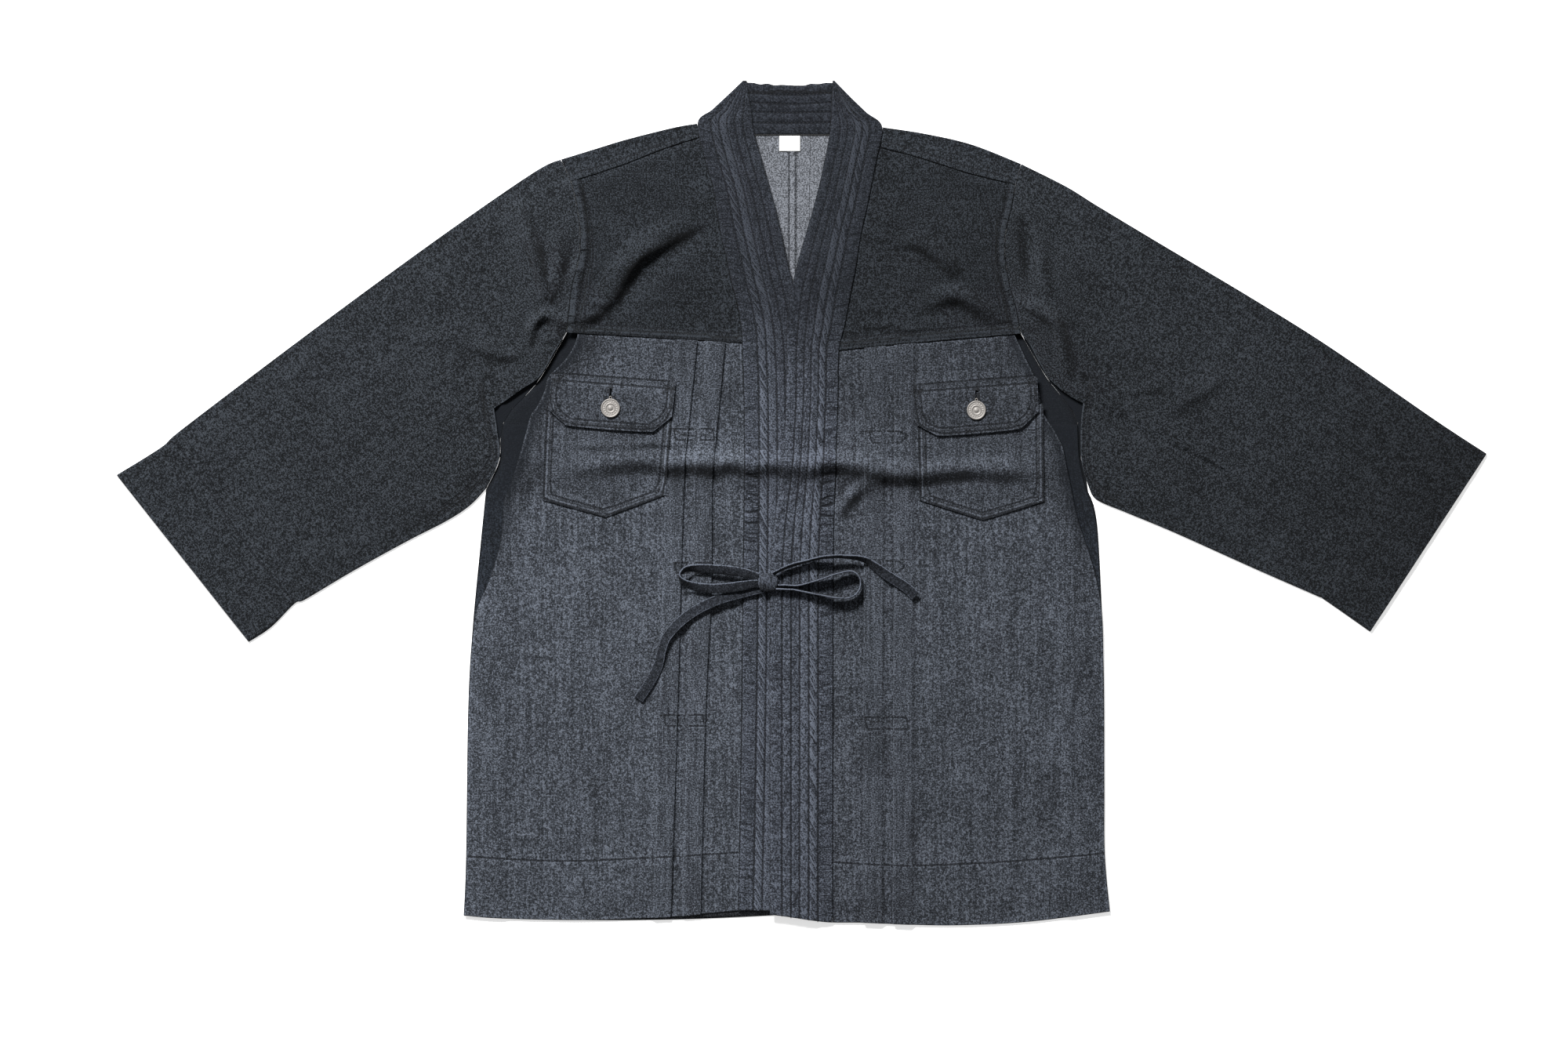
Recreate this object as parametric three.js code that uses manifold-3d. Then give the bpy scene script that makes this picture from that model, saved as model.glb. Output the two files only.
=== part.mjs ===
// A denim haori laid flat on its back, its fronts lapped and tied in a bow.
// Millimetres. +X runs to the viewer's right, +Y towards the collar and +Z up from the surface that
// the haori lies on. The origin is under the middle of the whole outline.
import * as THREE from "three";
import { mergeVertices } from "three/addons/utils/BufferGeometryUtils.js";
import Module from "manifold-3d";

const wasm = await Module();
wasm.setup();

// ---------- cloth and sewing ----------
const WALL = 1.0; // one layer of denim
const GAP = 0.4; // air between layers that lie on each other
const LAYER = WALL + GAP;
const SEAM = 0.4; // between pieces sewn edge to edge
const FOLD_TURN = 1.0; // how far a pressed fold takes to turn over
const FOLD_TURN_INSIDE = 1.7;
const SHOULDER_TUCK = 3; // the flat back stops this short of the shoulder fold
const TURN_TAIL = { reach: 10, thinner: 0.1 }; // of the turned strip, inside the flat back
const CENTRE_BACK = -8.8; // x of the centre-back seam

const PLEAT_DEPTH = 13;
const PLEAT_RAMP = 6; // run over which the cloth climbs onto a pleat
const PLEAT_ROOM = 1.2; // between the end of that climb and the turn under it
const PLEAT_LEAD = 1.5; // flat cloth past a pleat's fold edge

const BAND = 2.6; // the padded collar band
const BAND_CROWN = 0.7; // how far a quilted channel stands up
const BAND_LAP = 4.3; // lift of the right band where it crosses the left
const LAP_X = { start: 28, clear: 4 }; // the lift starts here and is whole this far past the left edge
const LAP_Y = { none: 252, whole: 206 };
const NECK_SLOPE = { start: 4, end: 16 }; // above the neck seam the band comes down to the ground
const BAND_ROWS_OF_STITCHES = [10.5, 18.5, 26, 34, 42]; // from the front edge
const BAND_WIDTH = 55;

const SIDE_PANEL_SHOWN = 30; // width of the side panel that lies under the front
const SIDE_PANEL_TOP = 70;
const SIDE_RAMP = 9;
const SIDE_CLEARANCE = 2;
const SIDE_TOP_SLOPE = 30;

const FLAP_WALL = 1.6;
const POCKET_CLEARANCE = 0.5;
const HINGE = 16; // depth over which a flap comes down to its seam
const FLAP_SPANS = 8;

const BUTTON_RADIUS = 8.5;
const BUTTON_CLEARANCE = 0.5;
const SHANK_RADIUS = 2;
const EYELET_RADIUS = 2.7;
const SLIT_LENGTH = 15;
const SLIT_WIDTH = 1.2;
const KEYHOLE_REACH = 40; // taller than any place that the hole goes through

const TIE_WIDTH = 9;
const TIE_THICKNESS = 1.6;

// ---------- colours ----------
const FABRIC = { roughness: 0.95, metalness: 0 };
const FACE_DENIM = { color: 0x4a4f59, ...FABRIC };
const CROSS_DENIM = { color: 0x363a40, ...FABRIC };
const BAND_DENIM = { color: 0x3f434a, ...FABRIC };
const DARK_DENIM = { color: 0x2b3036, ...FABRIC };
const TAPE = { color: 0xf2f2f0, ...FABRIC };
const NICKEL = { color: 0xc9c5c0, roughness: 0.35, metalness: 1 };

// ---------- outlines: each runs from the body outwards or from the collar down ----------
const LEFT = {
  name: "left",
  inward: 1,
  shoulderFold: [[-215, 307], [-184, 316.5], [-156, 325], [-114, 335.5], [-93.5, 339]],
  shoulderSeam: [[-206, 287], [-161, 301.5], [-132, 313], [-108, 321.5], [-91, 326.6]],
  armhole: [[-206, 287], [-201, 266], [-198, 243], [-199, 219], [-205, 195], [-208, 172], [-210, 152]],
  sleeveFrontEdge: [
    [-210, 152], [-220, 136], [-233, 114], [-247, 104], [-263, 99], [-275, 95], [-272, 65], [-270, 40],
    [-281, 14],
  ],
  sleeveBackEdge: [[-210, 152], [-236, 108], [-262, 80], [-269, 60], [-270, 38], [-281, 14]],
  sleeveTop: [[-215, 307], [-240, 295], [-324, 237], [-436, 155], [-551, 68], [-572, 50], [-612.2, 25]],
  sleeveUnder: [
    [-281, 14], [-296, -2], [-317, -16], [-352, -34], [-401, -61], [-443, -86], [-453, -90], [-474, -111],
    [-494, -124.3],
  ],
  sleeveUnderStart: [-281, 14],
  side: [[-282, 12], [-283.2, 1], [-287.4, -41], [-294, -111], [-298, -181], [-300, -317], [-302.1, -368.6]],
  sidePanelEdge: [
    [-267, 70], [-267, 40], [-278.5, 12], [-282.5, 0], [-286.9, -41], [-293.5, -111], [-297.5, -181],
    [-299.5, -317], [-301.6, -367],
  ],
  frontEdge: [
    [-200, 151], [-203, 141], [-211, 128], [-221, 118], [-227, 111], [-230, 99], [-237, 85], [-242, 78],
    [-248, 56], [-260, 16], [-266, 1], [-269, -34], [-279, -69], [-292, -104], [-297.8, -181],
    [-299.8, -317], [-301.9, -369],
  ],
  chestSeam: [[-210, 152], [-91, 145], [-53, 142.8]],
  collarSeam: [
    [-91, 326.6], [-86, 305.6], [-79, 281], [-74.6, 253], [-70.4, 232], [-66.2, 214.6], [-62.7, 197],
    [-57.8, 179.6], [-54, 158], [-53, 142.8], [-51.5, 99], [-51, 29], [-52.5, -100], [-54, -230],
    [-56.4, -366],
  ],
  bandTop: [[-52.5, 377.4], [-66, 364.5], [-80, 351.5], [-93, 339.5]],
  bandEdge: [
    [-49, 377.4], [-44.6, 350], [-41.7, 329.4], [-29.8, 286.7], [-22.8, 261.5], [-15.8, 231.4],
    [-12.3, 214.6], [-7.4, 195.7], [-1, 165], [2.1, 141], [4, 99], [4.2, 29], [3, -100], [1, -230],
    [-1.4, -366],
  ],
  hem: [[-302.5, -368.6], [-268, -371.4], [-193, -372.8], [-119, -370], [-83, -366.8], [-56, -364.4],
    [-38, -364.4], [0, -366]],
  backHem: [[-302.1, -368.6], [-260, -371], [-193, -372.9], [-143, -372.8], [-83, -371.4], [-8.8, -367.8]],
  pleatFolds: [
    [[-93, 146], [-100.5, 75], [-105.4, 15], [-111, -180], [-117.3, -372]],
    [[-68.3, 144], [-75.3, 71], [-80.2, 15], [-81, -80], [-85.8, -180], [-90.7, -372]],
  ],
  pocket: { mouth: 90, outer: [-228, -231.6], inner: [-114.8, -121.5], corners: [2.5, 7], point: [-175.4, -13] },
  flap: [[-223, 115.5], [-112.4, 107.5], [-115.9, 76.7], [-132.7, 63.4], [-210.4, 69.3], [-226.5, 83.7]],
  button: [-170.7, 84.7],
};

const RIGHT = {
  name: "right",
  inward: -1,
  shoulderFold: [[196, 303], [152, 320.3], [110, 330], [72.5, 335.7]],
  shoulderSeam: [[191, 284], [178, 287.4], [147.4, 295], [102, 309.4], [71, 317.5]],
  armhole: [[191, 284], [187, 262], [182, 240], [182, 217], [186, 194], [192, 172], [196, 151]],
  sleeveFrontEdge: [
    [196, 151], [204, 141], [213, 124], [223, 109], [240, 100.5], [252, 104], [249.5, 70], [250, 38],
    [256.5, 14],
  ],
  sleeveBackEdge: [[196, 151], [219, 112], [241, 84], [249, 62], [250, 38], [256.5, 14]],
  sleeveTop: [[196, 303], [236, 283], [264, 265.7], [320, 232], [404, 182], [474, 138], [565, 75], [612.2, 44]],
  sleeveUnder: [
    [256.5, 14], [264, 2.5], [292, -9.5], [334, -27], [404, -58.5], [460, -83], [467, -86.5],
    [508, -115.2],
  ],
  side: [[256, 10], [262, -6], [265.7, -41], [270, -146], [270.6, -251], [271, -314], [275.5, -364.4]],
  sidePanelEdge: [
    [246.5, 70], [248, 40], [254, 12], [260.5, -6], [265.2, -41], [269.5, -146], [270.1, -251],
    [270.5, -314], [274.9, -362],
  ],
  frontEdge: [
    [190, 151], [194.5, 141], [201, 127], [208, 113], [212, 99], [214, 85], [219, 74.6], [226, 64],
    [233, 50], [236, 36], [240.5, 15], [244.7, -6], [250, -25], [261, -58], [268, -95], [269.8, -146],
    [270.4, -251], [270.8, -314], [275.5, -366],
  ],
  chestSeam: [[196, 151], [79, 140.8], [33.5, 136]],
  collarSeam: [
    [71, 317.5], [66.9, 306], [59.2, 267], [52.9, 239], [48.7, 211], [43.8, 186.6], [38.9, 160],
    [33.5, 136], [32.6, 99], [30.5, 29], [28.4, -41], [28, -180], [27.7, -376],
  ],
  bandTop: [[29.4, 377.4], [44, 362.5], [58, 349], [72, 336.2]],
  bandEdge: [
    [27.6, 377.4], [26.3, 350], [24.9, 329.4], [19.3, 300.7], [12.3, 270.6], [5.3, 246], [-1.8, 221.6],
    [-5.3, 207.6], [-9.5, 190], [-12.3, 169], [-13.7, 141], [-13.7, 99], [-15.8, 57], [-17.9, 29],
    [-26.3, -34], [-28.4, -97], [-28.4, -376],
  ],
  hem: [[-30, -367.8], [-15.8, -369.3], [12.3, -373.5], [28, -375], [54, -375.2], [98, -377], [143, -377.4],
    [204, -374.2], [276, -365]],
  backHem: [[275.5, -364.4], [204, -371], [143, -374], [28, -371], [-8.8, -367.8]],
  pleatFolds: [
    [[83, 146], [82.5, -100], [81.6, -377]],
    [[56.5, 143], [55.8, -100], [55, -377]],
  ],
  pocket: { mouth: 88, outer: [216, 216.7], inner: [103.3, 105.4], corners: [1.1, 2.1], point: [162, -15.8] },
  flap: [[210.4, 113], [98.8, 104.7], [102.6, 69.7], [121.5, 59.9], [195.7, 66.2], [211.8, 81.6]],
  button: [156, 82.8],
};

const NECK = { left: -41.2, right: 24.4, leftTop: -48.4, rightTop: 27, seam: 329, top: 376, dip: 2.5 };
const LABEL = { left: -20, right: -1.3, top: 328, foot: 314.3, wall: 1.0 };

// ---------- how the cloth lies ----------
const YOKE_ROWS = 10; // even, as the back layers take every other point of the armhole
const YOKE_COLUMNS = 11;
const FREE_EDGE_SPANS = 7; // along the open front edge of a sleeve
const BACK_EDGE_SPANS = 5;
const SHOULDER_SPANS = 8;
const PANEL_LEVELS = [112, 84, 62, 46, 38, 31, 24, 16, 2, -40, -100, -170, -240, -310];
const BAND_LEVELS = [112, 62, 46, 38, 31, 24, 16, -10, -70, -170, -270];
const SLEEVE_STATIONS = [0, 0.04, 0.1, 0.18, 0.28, 0.4, 0.54, 0.7, 0.86, 1];

const SOFTNESS = 0.8; // air that soft cloth keeps everywhere
const EDGE_REACH = 24; // a pressed edge flattens the cloth this far in
const SWELLS = [
  { name: "left yoke", x: -145, y: 238, reachX: 62, reachY: 80, height: 5 },
  { name: "right yoke", x: 135, y: 235, reachX: 62, reachY: 80, height: 5 },
  { name: "left armhole", x: -226, y: 175, reachX: 38, reachY: 70, height: 4 },
  { name: "right armhole", x: 214, y: 175, reachX: 38, reachY: 70, height: 4 },
  { name: "left sleeve", x: -380, y: 60, reachX: 130, reachY: 90, height: 1.4 },
  { name: "right sleeve", x: 375, y: 60, reachX: 130, reachY: 90, height: 1.4 },
  { name: "chest", x: -12, y: 60, reachX: 200, reachY: 70, height: 1.6 },
  { name: "skirt", x: -12, y: -190, reachX: 220, reachY: 150, height: 1 },
];
const FOLDS = [
  { name: "chest", from: [-216, 31], via: [0, 30], to: [219, 32], width: 9, height: 3.2 },
  { name: "left yoke ridge", from: [-196, 168], via: [-170, 214], to: [-104, 266], width: 13, height: 4 },
  { name: "left yoke trough", from: [-186, 160], via: [-150, 196], to: [-80, 254], width: 12, height: -3.6 },
  { name: "right yoke hollow", from: [68, 238], via: [98, 224], to: [128, 196], width: 12, height: -2.6 },
  { name: "right yoke trough", from: [90, 180], via: [130, 182], to: [176, 158], width: 10, height: -3.2 },
  { name: "right yoke ridge", from: [110, 196], via: [146, 200], to: [184, 176], width: 10, height: 2.2 },
  { name: "left armhole", from: [-266, 278], via: [-244, 222], to: [-231, 170], width: 12, height: 3 },
  { name: "right armhole", from: [200, 270], via: [203, 232], to: [210, 190], width: 12, height: -2.4 },
  { name: "left underarm", from: [-250, 168], via: [-236, 148], to: [-214, 150], width: 8, height: 3.4 },
  { name: "right underarm", from: [196, 168], via: [214, 152], to: [238, 128], width: 9, height: 3.4 },
  { name: "left sleeve", from: [-362, 144], via: [-309, 146], to: [-250, 128], width: 10, height: 2 },
  { name: "right sleeve", from: [322, 80], via: [352, 96], to: [390, 120], width: 9, height: 2 },
  { name: "left skirt", from: [-262, -124], via: [-232, -132], to: [-190, -134], width: 9, height: 1.2 },
  { name: "right skirt", from: [252, -128], via: [238, -170], to: [224, -232], width: 11, height: 1.8 },
  { name: "right hem", from: [186, -226], via: [188, -270], to: [188, -318], width: 9, height: 1.4 },
];

// ---------- tie: each strip's middle line, and the lean of its width from lying flat ----------
const KNOT = { x: -29.8, y: -71.1, z: 14.9, halfX: 9, halfY: 8, halfZ: 4 };
const TIE_STRIPS = {
  tie_loop_left: [
    { x: -39.3, y: -71.5, z: 15.2, lean: 150 },
    { x: -54, y: -74, z: 14.8, lean: 160 },
    { x: -75, y: -76.5, z: 13, lean: 165 },
    { x: -94, y: -75, z: 12, lean: 150 },
    { x: -106, y: -70, z: 13.4, lean: 120 },
    { x: -109, y: -64, z: 14, lean: 90 },
    { x: -104, y: -59.5, z: 13.4, lean: 60 },
    { x: -92, y: -58.5, z: 12.4, lean: 35 },
    { x: -75, y: -59.5, z: 12, lean: 25 },
    { x: -54, y: -62, z: 13, lean: 25 },
    { x: -38.4, y: -65.8, z: 15, lean: 30 },
  ],
  tie_loop_right: [
    { x: -20.7, y: -73, z: 15.4, lean: 90 },
    { x: -4, y: -73.4, z: 15.4, lean: 90 },
    { x: 12, y: -69.5, z: 15.1, lean: 92 },
    { x: 33, y: -62.5, z: 13.6, lean: 96 },
    { x: 45, y: -60.8, z: 12.6, lean: 96 },
    { x: 51.5, y: -66, z: 12, lean: 94 },
    { x: 52, y: -76, z: 11.6, lean: 90 },
    { x: 45, y: -83.6, z: 11.8, lean: 86 },
    { x: 33, y: -84.6, z: 12.8, lean: 84 },
    { x: 12, y: -81.2, z: 15, lean: 86 },
    { x: -6, y: -77.8, z: 15.4, lean: 90 },
    { x: -22.5, y: -76.6, z: 15.4, lean: 90 },
  ],
  tie_tail_left: [
    { x: -34.5, y: -76.6, z: 9.9, lean: 10 },
    { x: -58, y: -81.5, z: 9.8, lean: 10 },
    { x: -86, y: -91.4, z: 9.6, lean: 10 },
    { x: -107, y: -105, z: 10, lean: 14 },
    { x: -121, y: -121, z: 10.4, lean: 30 },
    { x: -125, y: -132, z: 9.8, lean: 34 },
    { x: -128.5, y: -146, z: 7.8, lean: 16 },
    { x: -135.5, y: -160, z: 6.6, lean: 6 },
    { x: -145.6, y: -175.2, z: 6.2, lean: 3 },
  ],
  tie_tail_right: [
    { x: -25.2, y: -62.9, z: 16, lean: 68 },
    { x: -12, y: -56.6, z: 16.2, lean: 74 },
    { x: 5, y: -52, z: 16.2, lean: 78 },
    { x: 21, y: -48.4, z: 15.6, lean: 78 },
    { x: 41, y: -48.2, z: 13.6, lean: 72 },
    { x: 57, y: -51, z: 12, lean: 56 },
    { x: 66, y: -57, z: 10.8, lean: 36 },
    { x: 77, y: -64.8, z: 9.8, lean: 18 },
    { x: 94, y: -76, z: 9.2, lean: 8 },
    { x: 101.5, y: -83, z: 8.6, lean: 4 },
  ],
};
const TIE_STEPS = 20;

// ---------- small helpers ----------
const clamp01 = (value) => Math.min(1, Math.max(0, value));
const smooth = (from, to, value) => THREE.MathUtils.smoothstep((value - from) / (to - from), 0, 1);
const mix = THREE.MathUtils.lerp;
const point = ([x, y]) => new THREE.Vector2(x, y);
const splineThrough = (pairs) => new THREE.SplineCurve(pairs.map(point));
const evenly = (pairs, spans) => splineThrough(pairs).getSpacedPoints(spans);
const aside = (points, dx, dy = 0) => points.map((p) => new THREE.Vector2(p.x + dx, p.y + dy));
const last = (list) => list[list.length - 1];

// The value of one axis where a smooth outline crosses a given value of the other axis.
function crossing(pairs, known, wanted) {
  const points = splineThrough(pairs).getPoints(pairs.length * 12);
  const falls = last(points)[known] < points[0][known];
  return (value) => {
    const k = points.findIndex((p) => (falls ? p[known] <= value : p[known] >= value));
    if (k === 0) return points[0][wanted];
    if (k < 0) return last(points)[wanted];
    const [a, b] = [points[k - 1], points[k]];
    return mix(a[wanted], b[wanted], (value - a[known]) / (b[known] - a[known]));
  };
}
const xAlong = (pairs) => crossing(pairs, "y", "x");
const yAlong = (pairs) => crossing(pairs, "x", "y");

function distanceToLine(points, x, y) {
  let nearest = { distance: Infinity, share: 0 };
  for (let k = 0; k < points.length - 1; k++) {
    const [a, b] = [points[k], points[k + 1]];
    const [dx, dy] = [b.x - a.x, b.y - a.y];
    const t = clamp01(((x - a.x) * dx + (y - a.y) * dy) / (dx * dx + dy * dy));
    const distance = Math.hypot(x - a.x - t * dx, y - a.y - t * dy);
    if (distance < nearest.distance) nearest = { distance, share: (k + t) / (points.length - 1) };
  }
  return nearest;
}

// ---------- the lie of the cloth: height above a pressed layer at any place ----------
const OUTLINE = [LEFT, RIGHT].map((side) => [
  ...evenly(side.bandTop, 3),
  ...evenly(side.shoulderFold, 6).reverse(),
  ...evenly(side.sleeveTop, 14),
  ...evenly(side.sleeveUnder, 10).reverse(),
  ...evenly(side.side, 10),
  ...(side === LEFT ? evenly(side.hem, 10) : evenly(side.hem, 10).reverse()),
]);
FOLDS.forEach((fold) => {
  fold.line = evenly([fold.from, fold.via, fold.to], 8);
});

function lay(x, y) {
  const edge = Math.min(...OUTLINE.map((outline) => distanceToLine(outline, x, y).distance));
  let height = SOFTNESS;
  for (const swell of SWELLS)
    height += swell.height
      * Math.exp(-(((x - swell.x) / swell.reachX) ** 2) - ((y - swell.y) / swell.reachY) ** 2);
  for (const fold of FOLDS) {
    const { distance, share } = distanceToLine(fold.line, x, y);
    if (distance > 3 * fold.width) continue;
    height += fold.height * Math.sqrt(4 * share * (1 - share)) * Math.exp(-((distance / fold.width) ** 2));
  }
  return Math.max(0.2, height) * smooth(0, EDGE_REACH, edge);
}

// ---------- closed walls ----------
function signedVolume(geometry) {
  const position = geometry.getAttribute("position");
  const index = geometry.index.array;
  const [a, b, c] = [new THREE.Vector3(), new THREE.Vector3(), new THREE.Vector3()];
  let sum = 0;
  for (let k = 0; k < index.length; k += 3) {
    [a, b, c].forEach((corner, n) => corner.fromBufferAttribute(position, index[k + n]));
    sum += a.dot(b.cross(c)) / 6;
  }
  return sum;
}

function closedGeometry(corners, faces) {
  const geometry = new THREE.BufferGeometry().setFromPoints(corners).setIndex(faces);
  if (signedVolume(geometry) < 0) {
    const index = geometry.index.array;
    for (let k = 0; k < index.length; k += 3) [index[k], index[k + 1]] = [index[k + 1], index[k]];
  }
  return geometry;
}

// A wall between two skins: rows of { outer, inner } points, open at its sides or closed to a ring.
function wall(rows, ring = false) {
  const count = rows[0].length;
  const end = rows.length - 1;
  const corners = rows.flatMap((row) => row.flatMap(({ outer, inner }) => [outer, inner]));
  const at = (i, j, skin) => 2 * (i * count + (j % count)) + skin;
  const faces = [];
  const quad = (a, b, c, d) => faces.push(a, b, c, a, c, d);
  const spans = ring ? count : count - 1;
  for (let i = 0; i < end; i++)
    for (let j = 0; j < spans; j++) {
      quad(at(i, j, 0), at(i + 1, j, 0), at(i + 1, j + 1, 0), at(i, j + 1, 0));
      quad(at(i, j, 1), at(i, j + 1, 1), at(i + 1, j + 1, 1), at(i + 1, j, 1));
    }
  for (let j = 0; j < spans; j++) {
    quad(at(0, j, 0), at(0, j + 1, 0), at(0, j + 1, 1), at(0, j, 1));
    quad(at(end, j + 1, 0), at(end, j, 0), at(end, j, 1), at(end, j + 1, 1));
  }
  for (let i = 0; i < end && !ring; i++) {
    quad(at(i + 1, 0, 0), at(i, 0, 0), at(i, 0, 1), at(i + 1, 0, 1));
    quad(at(i, spans, 0), at(i + 1, spans, 0), at(i + 1, spans, 1), at(i, spans, 1));
  }
  return closedGeometry(corners, faces);
}

const raised = (p, z) => new THREE.Vector3(p.x, p.y, z);
const layer = (p, foot, thickness = WALL) => ({ outer: raised(p, foot + thickness), inner: raised(p, foot) });

// Fills the plan between four edges: first and final run across, the two sides from one to the other.
function fill(first, final, startSide, endSide) {
  const shares = (points) => {
    const run = [0];
    for (let k = 1; k < points.length; k++) run.push(run[k - 1] + points[k].distanceTo(points[k - 1]));
    return run.map((length) => length / last(run));
  };
  const [acrossA, acrossB, alongA, alongB] = [first, final, startSide, endSide].map(shares);
  return startSide.map((start, i) => first.map((top, j) => {
    const u = (acrossA[j] + acrossB[j]) / 2;
    const v = (alongA[i] + alongB[i]) / 2;
    const blend = (axis) => mix(top[axis], final[j][axis], v) + mix(start[axis], endSide[i][axis], u)
      - mix(mix(first[0][axis], last(first)[axis], u), mix(final[0][axis], last(final)[axis], u), v);
    if (i === 0) return top;
    if (i === startSide.length - 1) return final[j];
    if (j === 0) return start;
    if (j === first.length - 1) return endSide[i];
    return new THREE.Vector2(blend("x"), blend("y"));
  }));
}

// ---------- booleans ----------
function solidOf(geometry) {
  const bare = geometry.clone();
  bare.deleteAttribute("normal");
  bare.deleteAttribute("uv");
  const merged = mergeVertices(bare, 1e-4);
  return new wasm.Manifold(new wasm.Mesh({
    numProp: 3,
    vertProperties: merged.getAttribute("position").array,
    triVerts: new Uint32Array(merged.index.array),
  }));
}

function geometryOf(solid) {
  const { vertProperties, triVerts } = solid.getMesh();
  return new THREE.BufferGeometry()
    .setAttribute("position", new THREE.BufferAttribute(vertProperties, 3))
    .setIndex(new THREE.BufferAttribute(triVerts, 1));
}

// ---------- scene graph ----------
const haori = new THREE.Group();
function add(name, geometry, finish) {
  geometry.computeVertexNormals();
  const mesh = new THREE.Mesh(geometry, new THREE.MeshStandardMaterial(finish));
  mesh.name = name;
  haori.add(mesh);
}

// ---------- seams that two pieces share, as the same points ----------
function seamsOf(side) {
  const armhole = evenly(side.armhole, YOKE_ROWS);
  const collar = xAlong(side.collarSeam);
  const yokeTop = side.collarSeam[0][1];
  const yokeFoot = last(side.chestSeam)[1];
  const levels = Array.from({ length: YOKE_ROWS + 1 }, (_, k) => mix(yokeTop, yokeFoot, k / YOKE_ROWS));
  const collarAt = (y) => new THREE.Vector2(collar(y), y);
  return {
    armhole,
    everyOther: armhole.filter((_, k) => k % 2 === 0),
    shoulderEnd: point(side.shoulderFold[0]),
    yokeCollar: levels.map(collarAt),
    panelCollar: PANEL_LEVELS.map(collarAt),
    bandCollar: BAND_LEVELS.map(collarAt),
    chestSeam: yAlong(side.chestSeam),
    hem: yAlong(side.hem),
  };
}
const SEAMS = { left: seamsOf(LEFT), right: seamsOf(RIGHT) };

// ---------- back, running over the shoulder to the front ----------
function back(side) {
  const { armhole, shoulderEnd, everyOther } = SEAMS[side.name];
  const inset = (SEAM / 2) * side.inward;
  const centre = CENTRE_BACK - inset;
  const shoulder = aside(evenly(side.shoulderFold, SHOULDER_SPANS / 2), 0, -SHOULDER_TUCK);
  shoulder[0].copy(shoulderEnd).lerp(armhole[0], SHOULDER_TUCK / shoulderEnd.distanceTo(armhole[0]));
  const neckline = evenly([[last(shoulder).x, NECK.seam - SEAM], [centre, NECK.seam - SEAM]], 2);
  const top = [...shoulder, ...neckline];
  const lowerEdge = evenly(side.sleeveBackEdge, BACK_EDGE_SPANS).slice(1, -1);
  const outer = [...aside([top[0], ...everyOther, ...lowerEdge], inset), ...evenly(side.side, 7)];
  top[0] = outer[0];
  const hem = evenly(side.backHem, top.length - 1);
  hem[0] = last(outer);
  last(hem).x = centre;
  const middle = outer.map((_, k) => last(top).clone().lerp(last(hem), k / (outer.length - 1)));
  const flat = wall(fill(top, hem, outer, middle).map((row) => row.map((p) => layer(p, 0))));

  const fold = evenly(side.shoulderFold, SHOULDER_SPANS);
  const seam = evenly(side.shoulderSeam, SHOULDER_SPANS);
  fold[0].x += inset;
  seam[0].x += inset;
  const turn = fold.map((edge, k) => {
    const down = seam[k].clone().sub(edge).normalize();
    const from = (distance) => edge.clone().addScaledVector(down, distance);
    const foot = seam[k].clone().addScaledVector(down, -SEAM / 2);
    const halfway = edge.clone().lerp(foot, 0.5);
    const mid = (LAYER + WALL) / 2;
    const { reach, thinner } = TURN_TAIL;
    return [
      layer(foot, LAYER + lay(foot.x, foot.y)),
      layer(halfway, LAYER + lay(halfway.x, halfway.y)),
      { outer: raised(from(FOLD_TURN), LAYER + WALL), inner: raised(from(FOLD_TURN_INSIDE), LAYER) },
      { outer: raised(edge, mid), inner: raised(from(WALL), mid) },
      { outer: raised(from(FOLD_TURN), 0), inner: raised(from(FOLD_TURN_INSIDE), WALL) },
      { outer: raised(from(reach), thinner), inner: raised(from(reach), WALL - thinner) },
    ];
  });
  return geometryOf(solidOf(flat).add(solidOf(wall(turn))));
}

// ---------- front yoke ----------
function yoke(side) {
  const { armhole, yokeCollar, chestSeam } = SEAMS[side.name];
  const inset = (SEAM / 2) * side.inward;
  const outer = aside(armhole, inset);
  const inner = aside(yokeCollar, -inset);
  const first = evenly(side.shoulderSeam, YOKE_COLUMNS).map((p) => p.clone());
  const final = first.map((_, k) => {
    const x = mix(last(outer).x, last(inner).x, k / YOKE_COLUMNS);
    return new THREE.Vector2(x, chestSeam(x) + SEAM / 2);
  });
  first[0] = outer[0].clone();
  first[YOKE_COLUMNS] = inner[0].clone();
  outer[0] = first[0];
  inner[0] = first[YOKE_COLUMNS];
  first.forEach((p) => {
    p.y -= SEAM / 2;
  });
  outer[YOKE_ROWS] = final[0];
  inner[YOKE_ROWS] = final[YOKE_COLUMNS];
  return wall(fill(first, final, outer, inner).map((row) => row.map((p) => layer(p, LAYER + lay(p.x, p.y)))));
}

// ---------- front panel with its pleats ----------
const sidePanelEdges = { left: xAlong(LEFT.sidePanelEdge), right: xAlong(RIGHT.sidePanelEdge) };

// Inner edge of the hidden side panel, measured towards the centre, and the step that it gives the front.
const sideInner = (side, y) =>
  sidePanelEdges[side.name](Math.min(y, SIDE_PANEL_TOP)) * side.inward + SIDE_PANEL_SHOWN;
function overSidePanel(side, across, y) {
  const past = (sideInner(side, y) + SIDE_CLEARANCE + SIDE_RAMP - across) / SIDE_RAMP;
  return LAYER * clamp01(past) * smooth(SIDE_PANEL_TOP + SIDE_TOP_SLOPE, SIDE_PANEL_TOP + SIDE_CLEARANCE, y);
}

const pleatFolds = {};
[LEFT, RIGHT].forEach((side) => {
  pleatFolds[side.name] = side.pleatFolds.map(xAlong);
});
const climbStart = (fold) => fold - PLEAT_DEPTH - PLEAT_ROOM - PLEAT_RAMP;
const climbEnd = (fold) => fold - PLEAT_DEPTH - PLEAT_ROOM;

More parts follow.
